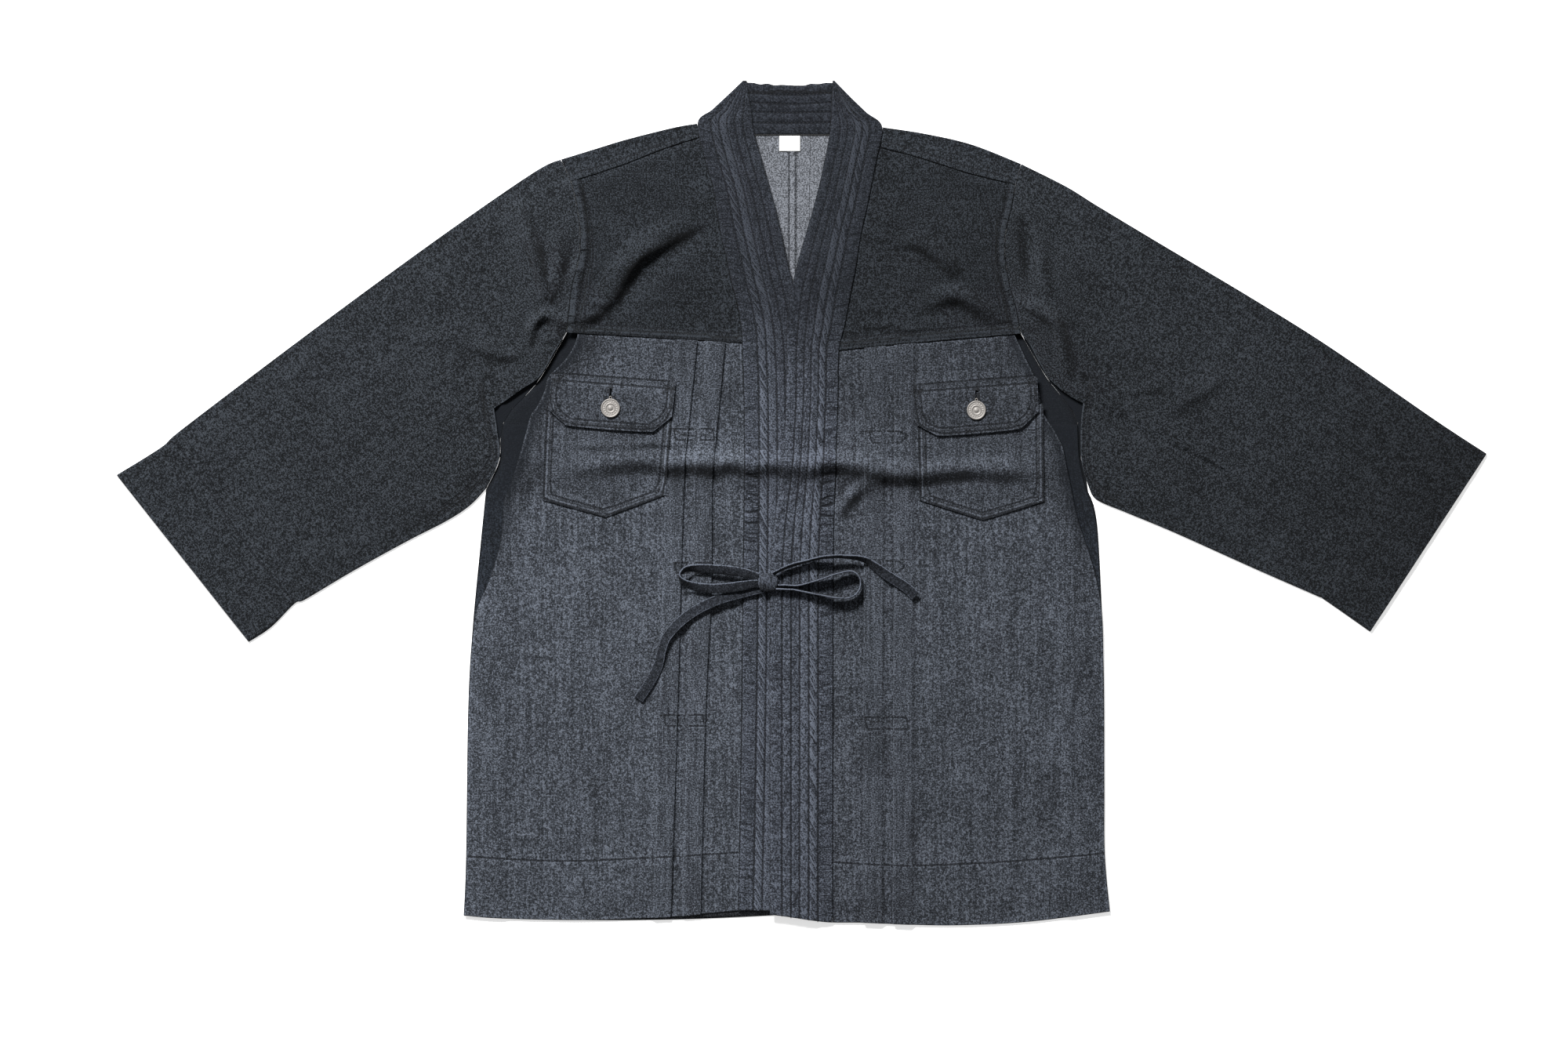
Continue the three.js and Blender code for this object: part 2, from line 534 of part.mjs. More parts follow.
function pleat(fold) {
  const turn = LAYER / 2;
  return [
    { across: climbStart(fold), level: 0 },
    { across: climbEnd(fold), level: 2 },
    { across: fold - turn, level: 2 },
    { across: fold, level: 1.5 },
    { across: fold - turn, level: 1 },
    { across: fold - PLEAT_DEPTH + turn, level: 1 },
    { across: fold - PLEAT_DEPTH, level: 0.5 },
    { across: fold - PLEAT_DEPTH + turn, level: 0 },
    { across: fold + PLEAT_LEAD, level: 0 },
  ].map((step) => ({ ...step, from: climbStart(fold), to: fold + PLEAT_LEAD }));
}

function front(side) {
  const { panelCollar, chestSeam, hem } = SEAMS[side.name];
  const frontEdge = xAlong(side.frontEdge);
  const collar = xAlong(side.collarSeam);
  const top = last(side.chestSeam)[1];
  const foot = hem(last(side.collarSeam)[0]);
  const rowAt = (y, yAt, collarX) => {
    const outer = frontEdge(yAt(frontEdge(y))) * side.inward;
    const inner = collarX * side.inward - SEAM / 2;
    const folds = pleatFolds[side.name].map((fold) => fold(y) * side.inward);
    const step = Math.max(outer, sideInner(side, y)) + SIDE_CLEARANCE;
    const settled = step + SIDE_RAMP;
    const plain = [outer, step, ...[0, 0.3, 0.6, 0.85].map((s) => mix(settled, climbStart(folds[0]), s))];
    const path = [
      ...plain.map((across) => ({ across, level: 0 })),
      ...folds.flatMap(pleat),
      { across: mix(last(folds) + PLEAT_LEAD, inner, 0.5), level: 0 },
      { across: inner, level: 0 },
    ].map(({ across, level, from, to }) => {
      const x = across * side.inward;
      const yHere = yAt(x);
      const near = (place) => lay(place * side.inward, yHere);
      const along = clamp01((across - from) / (to - from));
      const soft = from === undefined ? near(across) : mix(near(from), near(to), along);
      return { across, y: yHere, z: LAYER + WALL / 2 + overSidePanel(side, across, y) + soft + level * LAYER };
    });
    return path.map((p, k) => {
      const before = path[Math.max(0, k - 1)];
      const after = path[Math.min(path.length - 1, k + 1)];
      const unit = (a, b) => new THREE.Vector2(b.across - a.across, b.z - a.z).normalize();
      const along = new THREE.Vector2();
      if (k > 0) along.add(unit(before, p));
      if (k < path.length - 1) along.add(unit(p, after));
      along.normalize().multiplyScalar(WALL / 2);
      const skin = (sign) => new THREE.Vector3(
        (p.across - sign * along.y) * side.inward, p.y, p.z + sign * along.x,
      );
      return { outer: skin(1), inner: skin(-1) };
    });
  };
  return wall([
    rowAt(top, (x) => chestSeam(x) - SEAM / 2, collar(top)),
    ...PANEL_LEVELS.map((y, k) => rowAt(y, () => y, panelCollar[k].x)),
    rowAt(foot, hem, collar(foot)),
  ]);
}

// ---------- side panel ----------
function sidePanel(side) {
  const outer = evenly(side.sidePanelEdge, 10);
  return wall(outer.map((p) => {
    const inner = new THREE.Vector2(p.x + SIDE_PANEL_SHOWN * side.inward, p.y);
    return [p, p.clone().lerp(inner, 0.5), inner].map((q) => layer(q, LAYER));
  }));
}

// ---------- sleeve: a tube pressed flat ----------
function sleeve(side) {
  const { armhole, shoulderEnd, everyOther } = SEAMS[side.name];
  const inset = (-SEAM / 2) * side.inward;
  const openFront = evenly(side.sleeveFrontEdge, FREE_EDGE_SPANS).slice(1);
  const openBack = evenly(side.sleeveBackEdge, BACK_EDGE_SPANS).slice(1);
  const frontEnd = aside([shoulderEnd, ...armhole, ...openFront], inset);
  const backEnd = aside([shoulderEnd, ...everyOther, ...openBack], inset);
  backEnd[0] = frontEnd[0];
  backEnd[backEnd.length - 1] = last(frontEnd);
  const along = (pairs, start) => {
    const curve = splineThrough(pairs);
    return SLEEVE_STATIONS.map((share, k) => (k === 0 ? start : curve.getPointAt(share)));
  };
  const topEdge = along(side.sleeveTop, frontEnd[0]);
  const underEdge = along(side.sleeveUnder, last(frontEnd));
  const cuffLike = (end) => end.map((_, k) => last(topEdge).clone().lerp(last(underEdge), k / (end.length - 1)));
  const frontPlan = fill(frontEnd, cuffLike(frontEnd), topEdge, underEdge);
  const backPlan = fill(backEnd, cuffLike(backEnd), topEdge, underEdge);

  const middle = (LAYER + WALL) / 2;
  const pressedEdge = (edge, towards, frontFirst) => {
    const inwards = towards.clone().sub(edge).normalize();
    const from = (distance) => edge.clone().addScaledVector(inwards, distance);
    const near = from(FOLD_TURN);
    const nearInside = from(FOLD_TURN_INSIDE);
    const turn = [
      { outer: raised(near, 0), inner: raised(nearInside, WALL) },
      { outer: raised(edge, middle), inner: raised(from(WALL), middle) },
      { outer: raised(near, LAYER + WALL), inner: raised(nearInside, LAYER) },
    ];
    return frontFirst ? turn : turn.reverse();
  };
  const rings = SLEEVE_STATIONS.map((_, i) => {
    const frontRow = frontPlan[i];
    const backRow = backPlan[i];
    return [
      ...pressedEdge(frontRow[0], last(frontRow), true),
      ...frontRow.slice(1, -1).map((p) => layer(p, LAYER + lay(p.x, p.y))),
      ...pressedEdge(last(frontRow), frontRow[0], false),
      ...backRow.slice(1, -1).reverse().map((p) => ({ outer: raised(p, 0), inner: raised(p, WALL) })),
    ];
  });
  return wall(rings, true);
}

// ---------- collar band ----------
const leftBandEdge = xAlong(LEFT.bandEdge);
function lapLift(x, y) {
  const rise = smooth(LAP_X.start, leftBandEdge(Math.min(y, LEFT.bandEdge[9][1])) + LAP_X.clear, x);
  return BAND_LAP * rise * smooth(LAP_Y.none, LAP_Y.whole, y);
}

function band(side) {
  const { yokeCollar, bandCollar, hem } = SEAMS[side.name];
  const edge = xAlong(side.bandEdge);
  const collar = xAlong(side.collarSeam);
  const inset = (SEAM / 2) * side.inward;
  const foot = last(side.collarSeam)[1];
  const end = new THREE.Vector2(collar(foot), foot);
  const seam = [...side.bandTop.map(point), ...yokeCollar, ...bandCollar, end];
  const shares = [0, ...BAND_ROWS_OF_STITCHES.map((from) => from / BAND_WIDTH), 1];
  const columns = shares.flatMap((share, k) =>
    k ? [{ share: (share + shares[k - 1]) / 2, crown: BAND_CROWN }, { share, crown: 0 }] : [{ share, crown: 0 }]);
  return wall(seam.map((seamPoint, i) => columns.map(({ share, crown }) => {
    const x = mix(edge(seamPoint.y), seamPoint.x + inset, share);
    const y = i === seam.length - 1 ? hem(x) : seamPoint.y;
    const past = smooth(NECK.seam + NECK_SLOPE.start, NECK.seam + NECK_SLOPE.end, y);
    const lift = side.name === "right" ? lapLift(x, y) : 0;
    const base = LAYER * (1 - past) + lift + lay(x, y);
    const thick = BAND + LAYER * past + crown * (1 - past);
    return layer({ x, y }, base, thick);
  })));
}

function neckBand() {
  const heights = [0, 0.18, 0.38, 0.56, 0.76, 1];
  const across = Array.from({ length: 11 }, (_, k) => k / 10);
  return wall(heights.map((share, i) => across.map((u) => {
    const left = mix(NECK.left, NECK.leftTop, share);
    const right = mix(NECK.right, NECK.rightTop, share);
    const dip = share * NECK.dip * Math.sin(Math.PI * u);
    const crown = i % 2 ? BAND_CROWN : 0;
    return layer({ x: mix(left, right, u), y: mix(NECK.seam, NECK.top, share) - dip }, 0, BAND + crown);
  })));
}

// ---------- what lies on the front panel ----------
function panelTop(side, x, y) {
  const across = x * side.inward;
  const fold = pleatFolds[side.name][0](y) * side.inward;
  const climb = clamp01((across - climbStart(fold)) / PLEAT_RAMP);
  return LAYER + WALL + overSidePanel(side, across, y) + 2 * LAYER * climb + lay(x, y);
}

const POCKET_COLUMNS = [0, 0.06, 0.25, 0.45, 0.7, 0.93, 1];
function pocket(side) {
  const { mouth, outer, inner, corners, point: tip } = side.pocket;
  const levels = [mouth, ...PANEL_LEVELS.filter((y) => y < mouth && y > Math.max(...corners) + 4)];
  const rowAt = (y, share) => POCKET_COLUMNS.map((u) => {
    const x = mix(mix(outer[0], outer[1], share), mix(inner[0], inner[1], share), u);
    return new THREE.Vector2(x, y);
  });
  const rows = levels.map((y) => rowAt(y, clamp01((mouth - y) / (mouth - corners[0]))));
  const footRow = rowAt(0, 1);
  const tipShare = (tip[0] - outer[1]) / (inner[1] - outer[1]);
  footRow.forEach((p, k) => {
    const u = POCKET_COLUMNS[k];
    const past = (u - tipShare) / (1 - tipShare);
    p.y = u < tipShare ? mix(corners[0], tip[1], u / tipShare) : mix(tip[1], corners[1], past);
  });
  return wall([...rows, footRow].map((row) => row.map((p) =>
    layer(p, panelTop(side, p.x, p.y) + POCKET_CLEARANCE))));
}

const flapFoot = (side, x, y) => {
  const [first, second] = side.flap;
  const seamY = mix(first[1], second[1], (x - first[0]) / (second[0] - first[0]));
  const off = smooth(0, HINGE, seamY - y);
  return panelTop(side, x, y) + POCKET_CLEARANCE + off * (WALL + POCKET_CLEARANCE);
};

function flap(side) {
  const [topOuter, topInner, midInner, footInner, footOuter, midOuter] = side.flap.map(point);
  const shares = Array.from({ length: FLAP_SPANS + 1 }, (_, k) => k / FLAP_SPANS);
  const line = (a, b) => shares.map((u) => a.clone().lerp(b, u));
  const top = line(topOuter, topInner);
  const middle = line(midOuter, midInner);
  const foot = line(footOuter, footInner);
  const rows = [0, 0.25, 0.5, 0.75].map((v) => top.map((p, k) => p.clone().lerp(middle[k], v)));
  rows.push(middle, middle.map((p, k) => p.clone().lerp(foot[k], 0.5)), foot);
  const plain = wall(rows.map((row) => row.map((p) => layer(p, flapFoot(side, p.x, p.y), FLAP_WALL))));
  return geometryOf(solidOf(plain).subtract(solidOf(keyhole(side))));
}

function keyhole(side) {
  const [x, y] = side.button;
  const outline = new THREE.Shape();
  const meet = Math.asin(SLIT_WIDTH / 2 / EYELET_RADIUS);
  outline.absarc(0, 0, EYELET_RADIUS, Math.PI / 2 + meet, Math.PI / 2 - meet + 2 * Math.PI, false);
  outline.lineTo(SLIT_WIDTH / 2, SLIT_LENGTH);
  outline.lineTo(-SLIT_WIDTH / 2, SLIT_LENGTH);
  outline.closePath();
  const prism = new THREE.ExtrudeGeometry(outline, { depth: KEYHOLE_REACH, bevelEnabled: false, curveSegments: 10 });
  return prism.translate(x, y, 0);
}

function button(side) {
  const [x, y] = side.button;
  const start = panelTop(side, x, y) + POCKET_CLEARANCE + WALL + BUTTON_CLEARANCE;
  const under = flapFoot(side, x, y) + FLAP_WALL + BUTTON_CLEARANCE - start;
  const profile = [
    { r: 0, z: 0 },
    { r: SHANK_RADIUS, z: 0 },
    { r: SHANK_RADIUS, z: under },
    { r: BUTTON_RADIUS - 0.9, z: under },
    { r: BUTTON_RADIUS, z: under + 0.8 },
    { r: BUTTON_RADIUS - 0.3, z: under + 1.6 },
    { r: BUTTON_RADIUS - 1.2, z: under + 1.9 },
    { r: BUTTON_RADIUS - 2, z: under + 1.4 },
    { r: BUTTON_RADIUS - 4, z: under + 1.5 },
    { r: BUTTON_RADIUS - 4.6, z: under + 1.1 },
    { r: BUTTON_RADIUS - 6, z: under + 1.9 },
    { r: 0, z: under + 2.2 },
  ];
  const lathe = new THREE.LatheGeometry(profile.map(({ r, z }) => new THREE.Vector2(r, z)), 18);
  return lathe.rotateX(Math.PI / 2).translate(x, y, start);
}

function neckLabel() {
  const { left, right, top, foot, wall: thickness } = LABEL;
  const row = (y) => [left, right].map((x) => layer({ x, y }, WALL + 0.3, thickness));
  return wall([row(top), row(foot)]);
}

// ---------- tie ----------
function strip(route) {
  const curve = new THREE.CatmullRomCurve3(route.map(({ x, y, z }) => new THREE.Vector3(x, y, z)));
  const [wide, thick] = [TIE_WIDTH / 2, TIE_THICKNESS / 2];
  const section = [[-wide, -thick], [0, -thick], [wide, -thick], [wide, thick], [0, thick], [-wide, thick]];
  const rings = Array.from({ length: TIE_STEPS + 1 }, (_, k) => {
    const share = k / TIE_STEPS;
    const place = curve.getPoint(share);
    const tangent = curve.getTangent(share);
    const step = Math.min(route.length - 2, Math.floor(share * (route.length - 1)));
    const lean = mix(route[step].lean, route[step + 1].lean, share * (route.length - 1) - step);
    const angle = THREE.MathUtils.degToRad(lean);
    const level = new THREE.Vector3(-tangent.y, tangent.x, 0).normalize();
    const across = level.multiplyScalar(Math.cos(angle)).add(new THREE.Vector3(0, 0, Math.sin(angle)));
    across.addScaledVector(tangent, -across.dot(tangent)).normalize();
    const out = tangent.clone().cross(across);
    return section.map(([a, b]) => place.clone().addScaledVector(across, a).addScaledVector(out, b));
  });
  return closedTube(rings);
}

function closedTube(rings) {
  const count = rings[0].length;
  const at = (i, j) => i * count + (j % count);
  const faces = [];
  for (let i = 0; i < rings.length - 1; i++)
    for (let j = 0; j < count; j++)
      faces.push(at(i, j), at(i + 1, j), at(i + 1, j + 1), at(i, j), at(i + 1, j + 1), at(i, j + 1));
  const end = rings.length - 1;
  for (let j = 1; j < count - 1; j++) {
    faces.push(at(0, 0), at(0, j), at(0, j + 1));
    faces.push(at(end, 0), at(end, j + 1), at(end, j));
  }
  return closedGeometry(rings.flat(), faces);
}

function knot() {
  const lump = new THREE.SphereGeometry(1, 14, 9);
  return lump.scale(KNOT.halfX, KNOT.halfY, KNOT.halfZ).translate(KNOT.x, KNOT.y, KNOT.z);
}

// ---------- the haori ----------
[LEFT, RIGHT].forEach((side) => {
  add("back_" + side.name, back(side), CROSS_DENIM);
  add("yoke_" + side.name, yoke(side), CROSS_DENIM);
  add("front_" + side.name, front(side), FACE_DENIM);
  add("side_" + side.name, sidePanel(side), DARK_DENIM);
  add("sleeve_" + side.name, sleeve(side), CROSS_DENIM);
  add("collar_" + side.name, band(side), BAND_DENIM);
  add("pocket_" + side.name, pocket(side), FACE_DENIM);
  add("flap_" + side.name, flap(side), FACE_DENIM);
  add("button_" + side.name, button(side), NICKEL);
});
add("collar_neck", neckBand(), BAND_DENIM);
add("neck_label", neckLabel(), TAPE);
Object.entries(TIE_STRIPS).forEach(([name, route]) => add(name, strip(route), BAND_DENIM));
add("tie_knot", knot(), BAND_DENIM);

export default haori;
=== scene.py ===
"""Dresses a packed denim haori: cloth softened by long use, quilted collar, pockets, buttons, bow and every row of
stitches.

Lengths in the tables are in millimetres, in the part's own frame: +X to the viewer's right, +Y towards
the collar, +Z up from the surface that the haori lies on.
"""
import functools
import math
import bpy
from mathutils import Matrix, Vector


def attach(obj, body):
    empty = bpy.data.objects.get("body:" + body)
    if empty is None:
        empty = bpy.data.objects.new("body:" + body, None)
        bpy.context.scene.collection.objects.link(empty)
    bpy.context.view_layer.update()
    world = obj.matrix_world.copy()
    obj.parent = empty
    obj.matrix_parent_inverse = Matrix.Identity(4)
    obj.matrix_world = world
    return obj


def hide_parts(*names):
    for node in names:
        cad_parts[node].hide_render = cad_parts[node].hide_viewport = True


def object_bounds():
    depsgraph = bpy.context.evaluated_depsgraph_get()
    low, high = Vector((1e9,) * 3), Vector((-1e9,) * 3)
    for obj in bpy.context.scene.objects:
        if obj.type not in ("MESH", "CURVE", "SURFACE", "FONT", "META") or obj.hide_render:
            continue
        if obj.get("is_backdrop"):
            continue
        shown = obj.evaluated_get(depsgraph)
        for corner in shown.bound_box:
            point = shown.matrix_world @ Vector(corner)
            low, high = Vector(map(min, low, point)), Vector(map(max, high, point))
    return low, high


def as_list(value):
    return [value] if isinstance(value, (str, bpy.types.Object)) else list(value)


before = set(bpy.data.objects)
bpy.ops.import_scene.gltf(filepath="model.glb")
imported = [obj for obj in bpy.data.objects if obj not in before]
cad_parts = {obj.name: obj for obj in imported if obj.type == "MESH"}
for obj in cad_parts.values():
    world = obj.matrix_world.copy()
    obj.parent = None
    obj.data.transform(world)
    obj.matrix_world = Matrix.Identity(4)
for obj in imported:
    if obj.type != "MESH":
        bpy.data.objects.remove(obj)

from types import SimpleNamespace

import bpy
import numpy as np
from mathutils import Vector

bl_info = {
    "name": "Denim haori",
    "version": (1, 0, 0),
    "blender": (4, 5, 0),
    "location": "3D View > Sidebar > Haori",
    "description": "A denim haori laid flat, its fronts tied in a bow",
    "category": "Add Mesh",
}

CAD_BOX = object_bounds()
MM = 0.001

# ---------- cloth and sewing ----------
WALL = 1.0  # one layer of denim
LAYER = 1.4  # a layer and the air over it
SEAM = 0.06  # between pieces sewn edge to edge
RIM = (0.14, 0.42, 0.9)  # distances from a cut edge at which its rounding is modelled
INSIDE = 3.0  # a distance from the rim that is well past its rounding
SOFTNESS = 0.8  # how high cloth softened by long use stands over pressed cloth
LEAST_RISE = 0.2
EDGE_REACH = 24  # from the garment's outer edge, over which the cloth comes down flat
SLOPE_STEP = 1.6  # on either hand of a place, for taking its slope
LIT = {"gain": 0.5, "most": 0.3}  # how much painted highlight a slope gets that faces the shoulder
SHADED = {"gain": 1.9, "most": 1.3}  # how much painted shade a slope gets that falls away from it
NO_ROW = 12  # a distance from a row of stitches at which it draws nothing
ROW_START = 900  # keeps the puckers of one row unlike the next one's
SHADE = {
    "front_left": 0, "front_right": 0.3, "pocket_left": 0.45, "pocket_right": 0.6, "flap_left": 0.65,
    "flap_right": 0.95, "yoke_left": 0.1, "yoke_right": 0.35, "sleeve_left": 0, "sleeve_right": 0.25,
}  # painted shade over a whole piece, partly its own darker tone, 0 to 1

CENTRE_BACK = -8.8
SHOULDER_TUCK = 3  # how far short of the shoulder fold a back half ends
SHOULDER_TAIL = {"reach": 10.0, "gap": 0.06}  # the turned strip's end under the back
BACK_HEM_Y = (-356, -348)
NECK_SHOWN_X, NECK_SHOWN_Y = (95, 130), (130, 170)  # where the inside of the back ends to be seen
PLAIN_UNDERSIDE = {"lining": 0, "deep": 0}
PLEAT_DEPTH = 13
PLEAT_RAMP = 6  # over which the cloth climbs on to a pleat
PLEAT_ROOM = 1.2  # beside the hidden fold of a pleat
PLEAT_LEAD = 1.5  # of flat cloth before a pleat
PLEAT_START = -PLEAT_DEPTH - PLEAT_ROOM - PLEAT_RAMP
SIDE_PANEL_SHOWN = 30
SIDE_PANEL_TOP = 70
SIDE_RAMP = 9  # over which a front climbs on to its side panel
SIDE_CLEARANCE = 2
SIDE_TOP_SLOPE = 30

BAND = 2.6  # the padded band at its rows of stitches
BAND_CROWN = 0.9  # the padding between two rows
BAND_WIDTH = 55
BAND_ROWS = (10.5, 18.5, 26, 34, 42)  # from the band's front edge
BAND_LAP = 4.3  # how far the right band is lifted by the left one
LAP_X = (28, 4)  # where that lift starts, and how far past the left band's edge it ends
LAP_Y = (252, 206)  # the levels between which it comes in
NECK_SLOPE = (4, 16)  # above the neck seam, where the band comes down to the table
NECK_ROWS = (366.5, 358, 349.7, 340)
CREASE_SLOPE = 1.9  # of the creases across the band's cable

POCKET_CLEARANCE = 0.5
FLAP_WALL = 1.6
HINGE = 16  # over which a flap rises from its seam on to the pocket
SLOT = {"foot": 6.5, "top": 17.5, "half_width": 0.9}  # the buttonhole, from the button's middle
BUTTON_PROFILE = [
    (2.0, 0), (6.4, 0), (7.6, 0.25), (8.3, 0.7), (8.5, 1.1), (8.35, 1.5), (8.0, 1.72), (7.6, 1.72), (7.25, 1.4),
    (7.0, 1.1), (6.6, 1.12), (6.1, 1.14), (5.6, 1.14), (5.1, 1.12), (4.75, 1.06), (4.35, 1.55), (4.1, 1.68),
    (3.8, 1.55), (3.45, 1.0), (2.6, 1.02), (2.2, 1.06), (1.9, 1.45), (1.5, 1.75), (0.9, 1.9), (0.001, 1.95),
]  # radius, and height over the flap
BEADS = {"count": 18, "radius": 5.85, "width": 0.5, "height": 0.45}
TIE_WIDTH = 9
TIE_THICKNESS = 1.8
TUBE_CAP = ((0.8, 0.45), (0.02, 0.6))  # a tube's rounded end: share of its last ring, and how far out
HOLE_STITCH = SimpleNamespace(pitch=0.0009, length=0.0016, width=0.0007)  # metres

# ---------- finishes ----------
# Grains of the weave: stretch along each axis, size, detail, roughness and where it starts.
GRAINS = {
    "fleck": ((1, 1, 0.2), 760, 3.0, 0.72, (0, 0, 0)),
    "speck": ((1, 0.7, 0.2), 330, 2.0, 0.6, (0.1, 0.4, 0)),
    "thread": ((1, 0.16, 0.2), 1250, 1.0, 0.5, (0.3, 0, 0)),
    "streak": ((1, 0.035, 0.2), 420, 2.0, 0.6, (0, 0, 0)),
    "dash": ((0.1, 1, 0.2), 900, 1.0, 0.5, (0, 0.7, 0)),
    "cloud": ((1, 1, 0.2), 17, 3.0, 0.55, (0, 0, 0)),
    "patch": ((1, 0.45, 0.2), 95, 2.0, 0.55, (0.2, 0.1, 0)),
}
# Each denim's colour setting, the turn of its warp in degrees, and the strength of its streaks, dashes and flecks.
DENIM_OF = {
    "back": ("yoke", 90, 0.35, 0.3, 6.0),
    "yokes": ("yoke", 90, 0.6, 0.6, 6.0),
    "fronts": ("face", 0, 0.75, 0.15, 4.2),
    "side panels": ("side", 0, 0.5, 0.2, 4.2),
    "left sleeve": ("sleeve", 54.5, 0.5, 0.3, 6.0),
    "right sleeve": ("sleeve", -54.5, 0.5, 0.3, 6.0),
    "collar": ("band", 0, 0.35, 0.3, 4.2),
    "pockets": ("face", 0, 0.7, 0.15, 4.2),
    "tie": ("band", 60, 0.3, 0.3, 4.2),
}
GATHER = {"along": 3.4, "across": 12}  # size of the puckers beside a row
# Tones from the darkest to the palest yarn: place on the scale, and share of the cloth's colour; DIM_TONES in painted
# shade.
PLAIN_TONES = ((0.06, 0.28), (0.5, 0.92), (0.74, 1.55), (0.97, 2.9))
DIM_TONES = ((0.06, 0.14), (0.5, 0.5), (0.74, 0.85), (0.97, 1.6))
LINING_TONES = ((0.1, 0.4), (0.9, 1.6))
CLOTH_SURFACE = {"Roughness": 0.92, "Specular IOR Level": 0.12, "Sheen Weight": 0.03, "Sheen Roughness": 0.6}
# The stage, in metres.
FLOOR = {"reach": 6, "drop": 0.0003, "glow": 0.6}
LAMP = {"place": (-1.2, 2.8, 3.0), "length": 1.7, "width": 0.8}
VIEW = {"x": -0.01575, "y": -0.0175, "z": 0.008, "width": 1.4, "lens": 200, "film": 36}

# ---------- outlines: each runs from the body outwards or from the collar down ----------
LEFT = {
  "name": "left",
  "inward": 1,
  "shoulder_fold": [(-215, 307), (-184, 316.5), (-156, 325), (-114, 335.5), (-93.5, 339)],
  "shoulder_seam": [(-206, 287), (-161, 301.5), (-132, 313), (-108, 321.5), (-91, 326.6)],
  "armhole": [(-206, 287), (-201, 266), (-198, 243), (-199, 219), (-205, 195), (-208, 172), (-210, 152)],
  "sleeve_front_edge": [
    (-210, 152), (-220, 136), (-233, 114), (-247, 104), (-263, 99), (-275, 95), (-272, 65), (-270, 40),
    (-281, 14),
  ],
  "sleeve_back_edge": [(-210, 152), (-236, 108), (-262, 80), (-269, 60), (-270, 38), (-281, 14)],
  "sleeve_top": [(-215, 307), (-240, 295), (-324, 237), (-436, 155), (-551, 68), (-572, 50), (-612.2, 25)],
  "sleeve_under": [
    (-281, 14), (-296, -2), (-317, -16), (-352, -34), (-401, -61), (-443, -86), (-453, -90), (-474, -111),
    (-494, -124.3),
  ],
  "sleeve_under_start": (-281, 14),
  "side": [(-282, 12), (-283.2, 1), (-287.4, -41), (-294, -111), (-298, -181), (-300, -317), (-302.1, -368.6)],
  "side_panel_edge": [
    (-267, 70), (-267, 40), (-278.5, 12), (-282.5, 0), (-286.9, -41), (-293.5, -111), (-297.5, -181),
    (-299.5, -317), (-301.6, -367),
  ],
  "front_edge": [
    (-200, 151), (-203, 141), (-211, 128), (-221, 118), (-227, 111), (-230, 99), (-237, 85), (-242, 78),
    (-248, 56), (-260, 16), (-266, 1), (-269, -34), (-279, -69), (-292, -104), (-297.8, -181),
    (-299.8, -317), (-301.9, -369),
  ],
  "chest_seam": [(-210, 152), (-91, 145), (-53, 142.8)],
  "collar_seam": [
    (-91, 326.6), (-86, 305.6), (-79, 281), (-74.6, 253), (-70.4, 232), (-66.2, 214.6), (-62.7, 197),
    (-57.8, 179.6), (-54, 158), (-53, 142.8), (-51.5, 99), (-51, 29), (-52.5, -100), (-54, -230),
    (-56.4, -366),
  ],
  "band_top": [(-52.5, 377.4), (-66, 364.5), (-80, 351.5), (-93, 339.5)],
  "band_edge": [
    (-49, 377.4), (-44.6, 350), (-41.7, 329.4), (-29.8, 286.7), (-22.8, 261.5), (-15.8, 231.4),
    (-12.3, 214.6), (-7.4, 195.7), (-1, 165), (2.1, 141), (4, 99), (4.2, 29), (3, -100), (1, -230),
    (-1.4, -366),
  ],
  "hem": [(-302.5, -368.6), (-268, -371.4), (-193, -372.8), (-119, -370), (-83, -366.8), (-56, -364.4),
    (-38, -364.4), (0, -366)],
  "back_hem": [(-302.1, -368.6), (-260, -371), (-193, -372.9), (-143, -372.8), (-83, -371.4), (-8.8, -367.8)],
  "pleat_folds": [
    [(-93, 146), (-100.5, 75), (-105.4, 15), (-111, -180), (-117.3, -372)],
    [(-68.3, 144), (-75.3, 71), (-80.2, 15), (-81, -80), (-85.8, -180), (-90.7, -372)],
  ],
  "pocket": {
    "mouth": 90, "outer": (-228, -231.6), "inner": (-114.8, -121.5), "corners": (2.5, 7), "point": (-175.4, -13),
  },
  "flap": [(-223, 115.5), (-112.4, 107.5), (-115.9, 76.7), (-132.7, 63.4), (-210.4, 69.3), (-226.5, 83.7)],
  "button": (-170.7, 84.7),
}

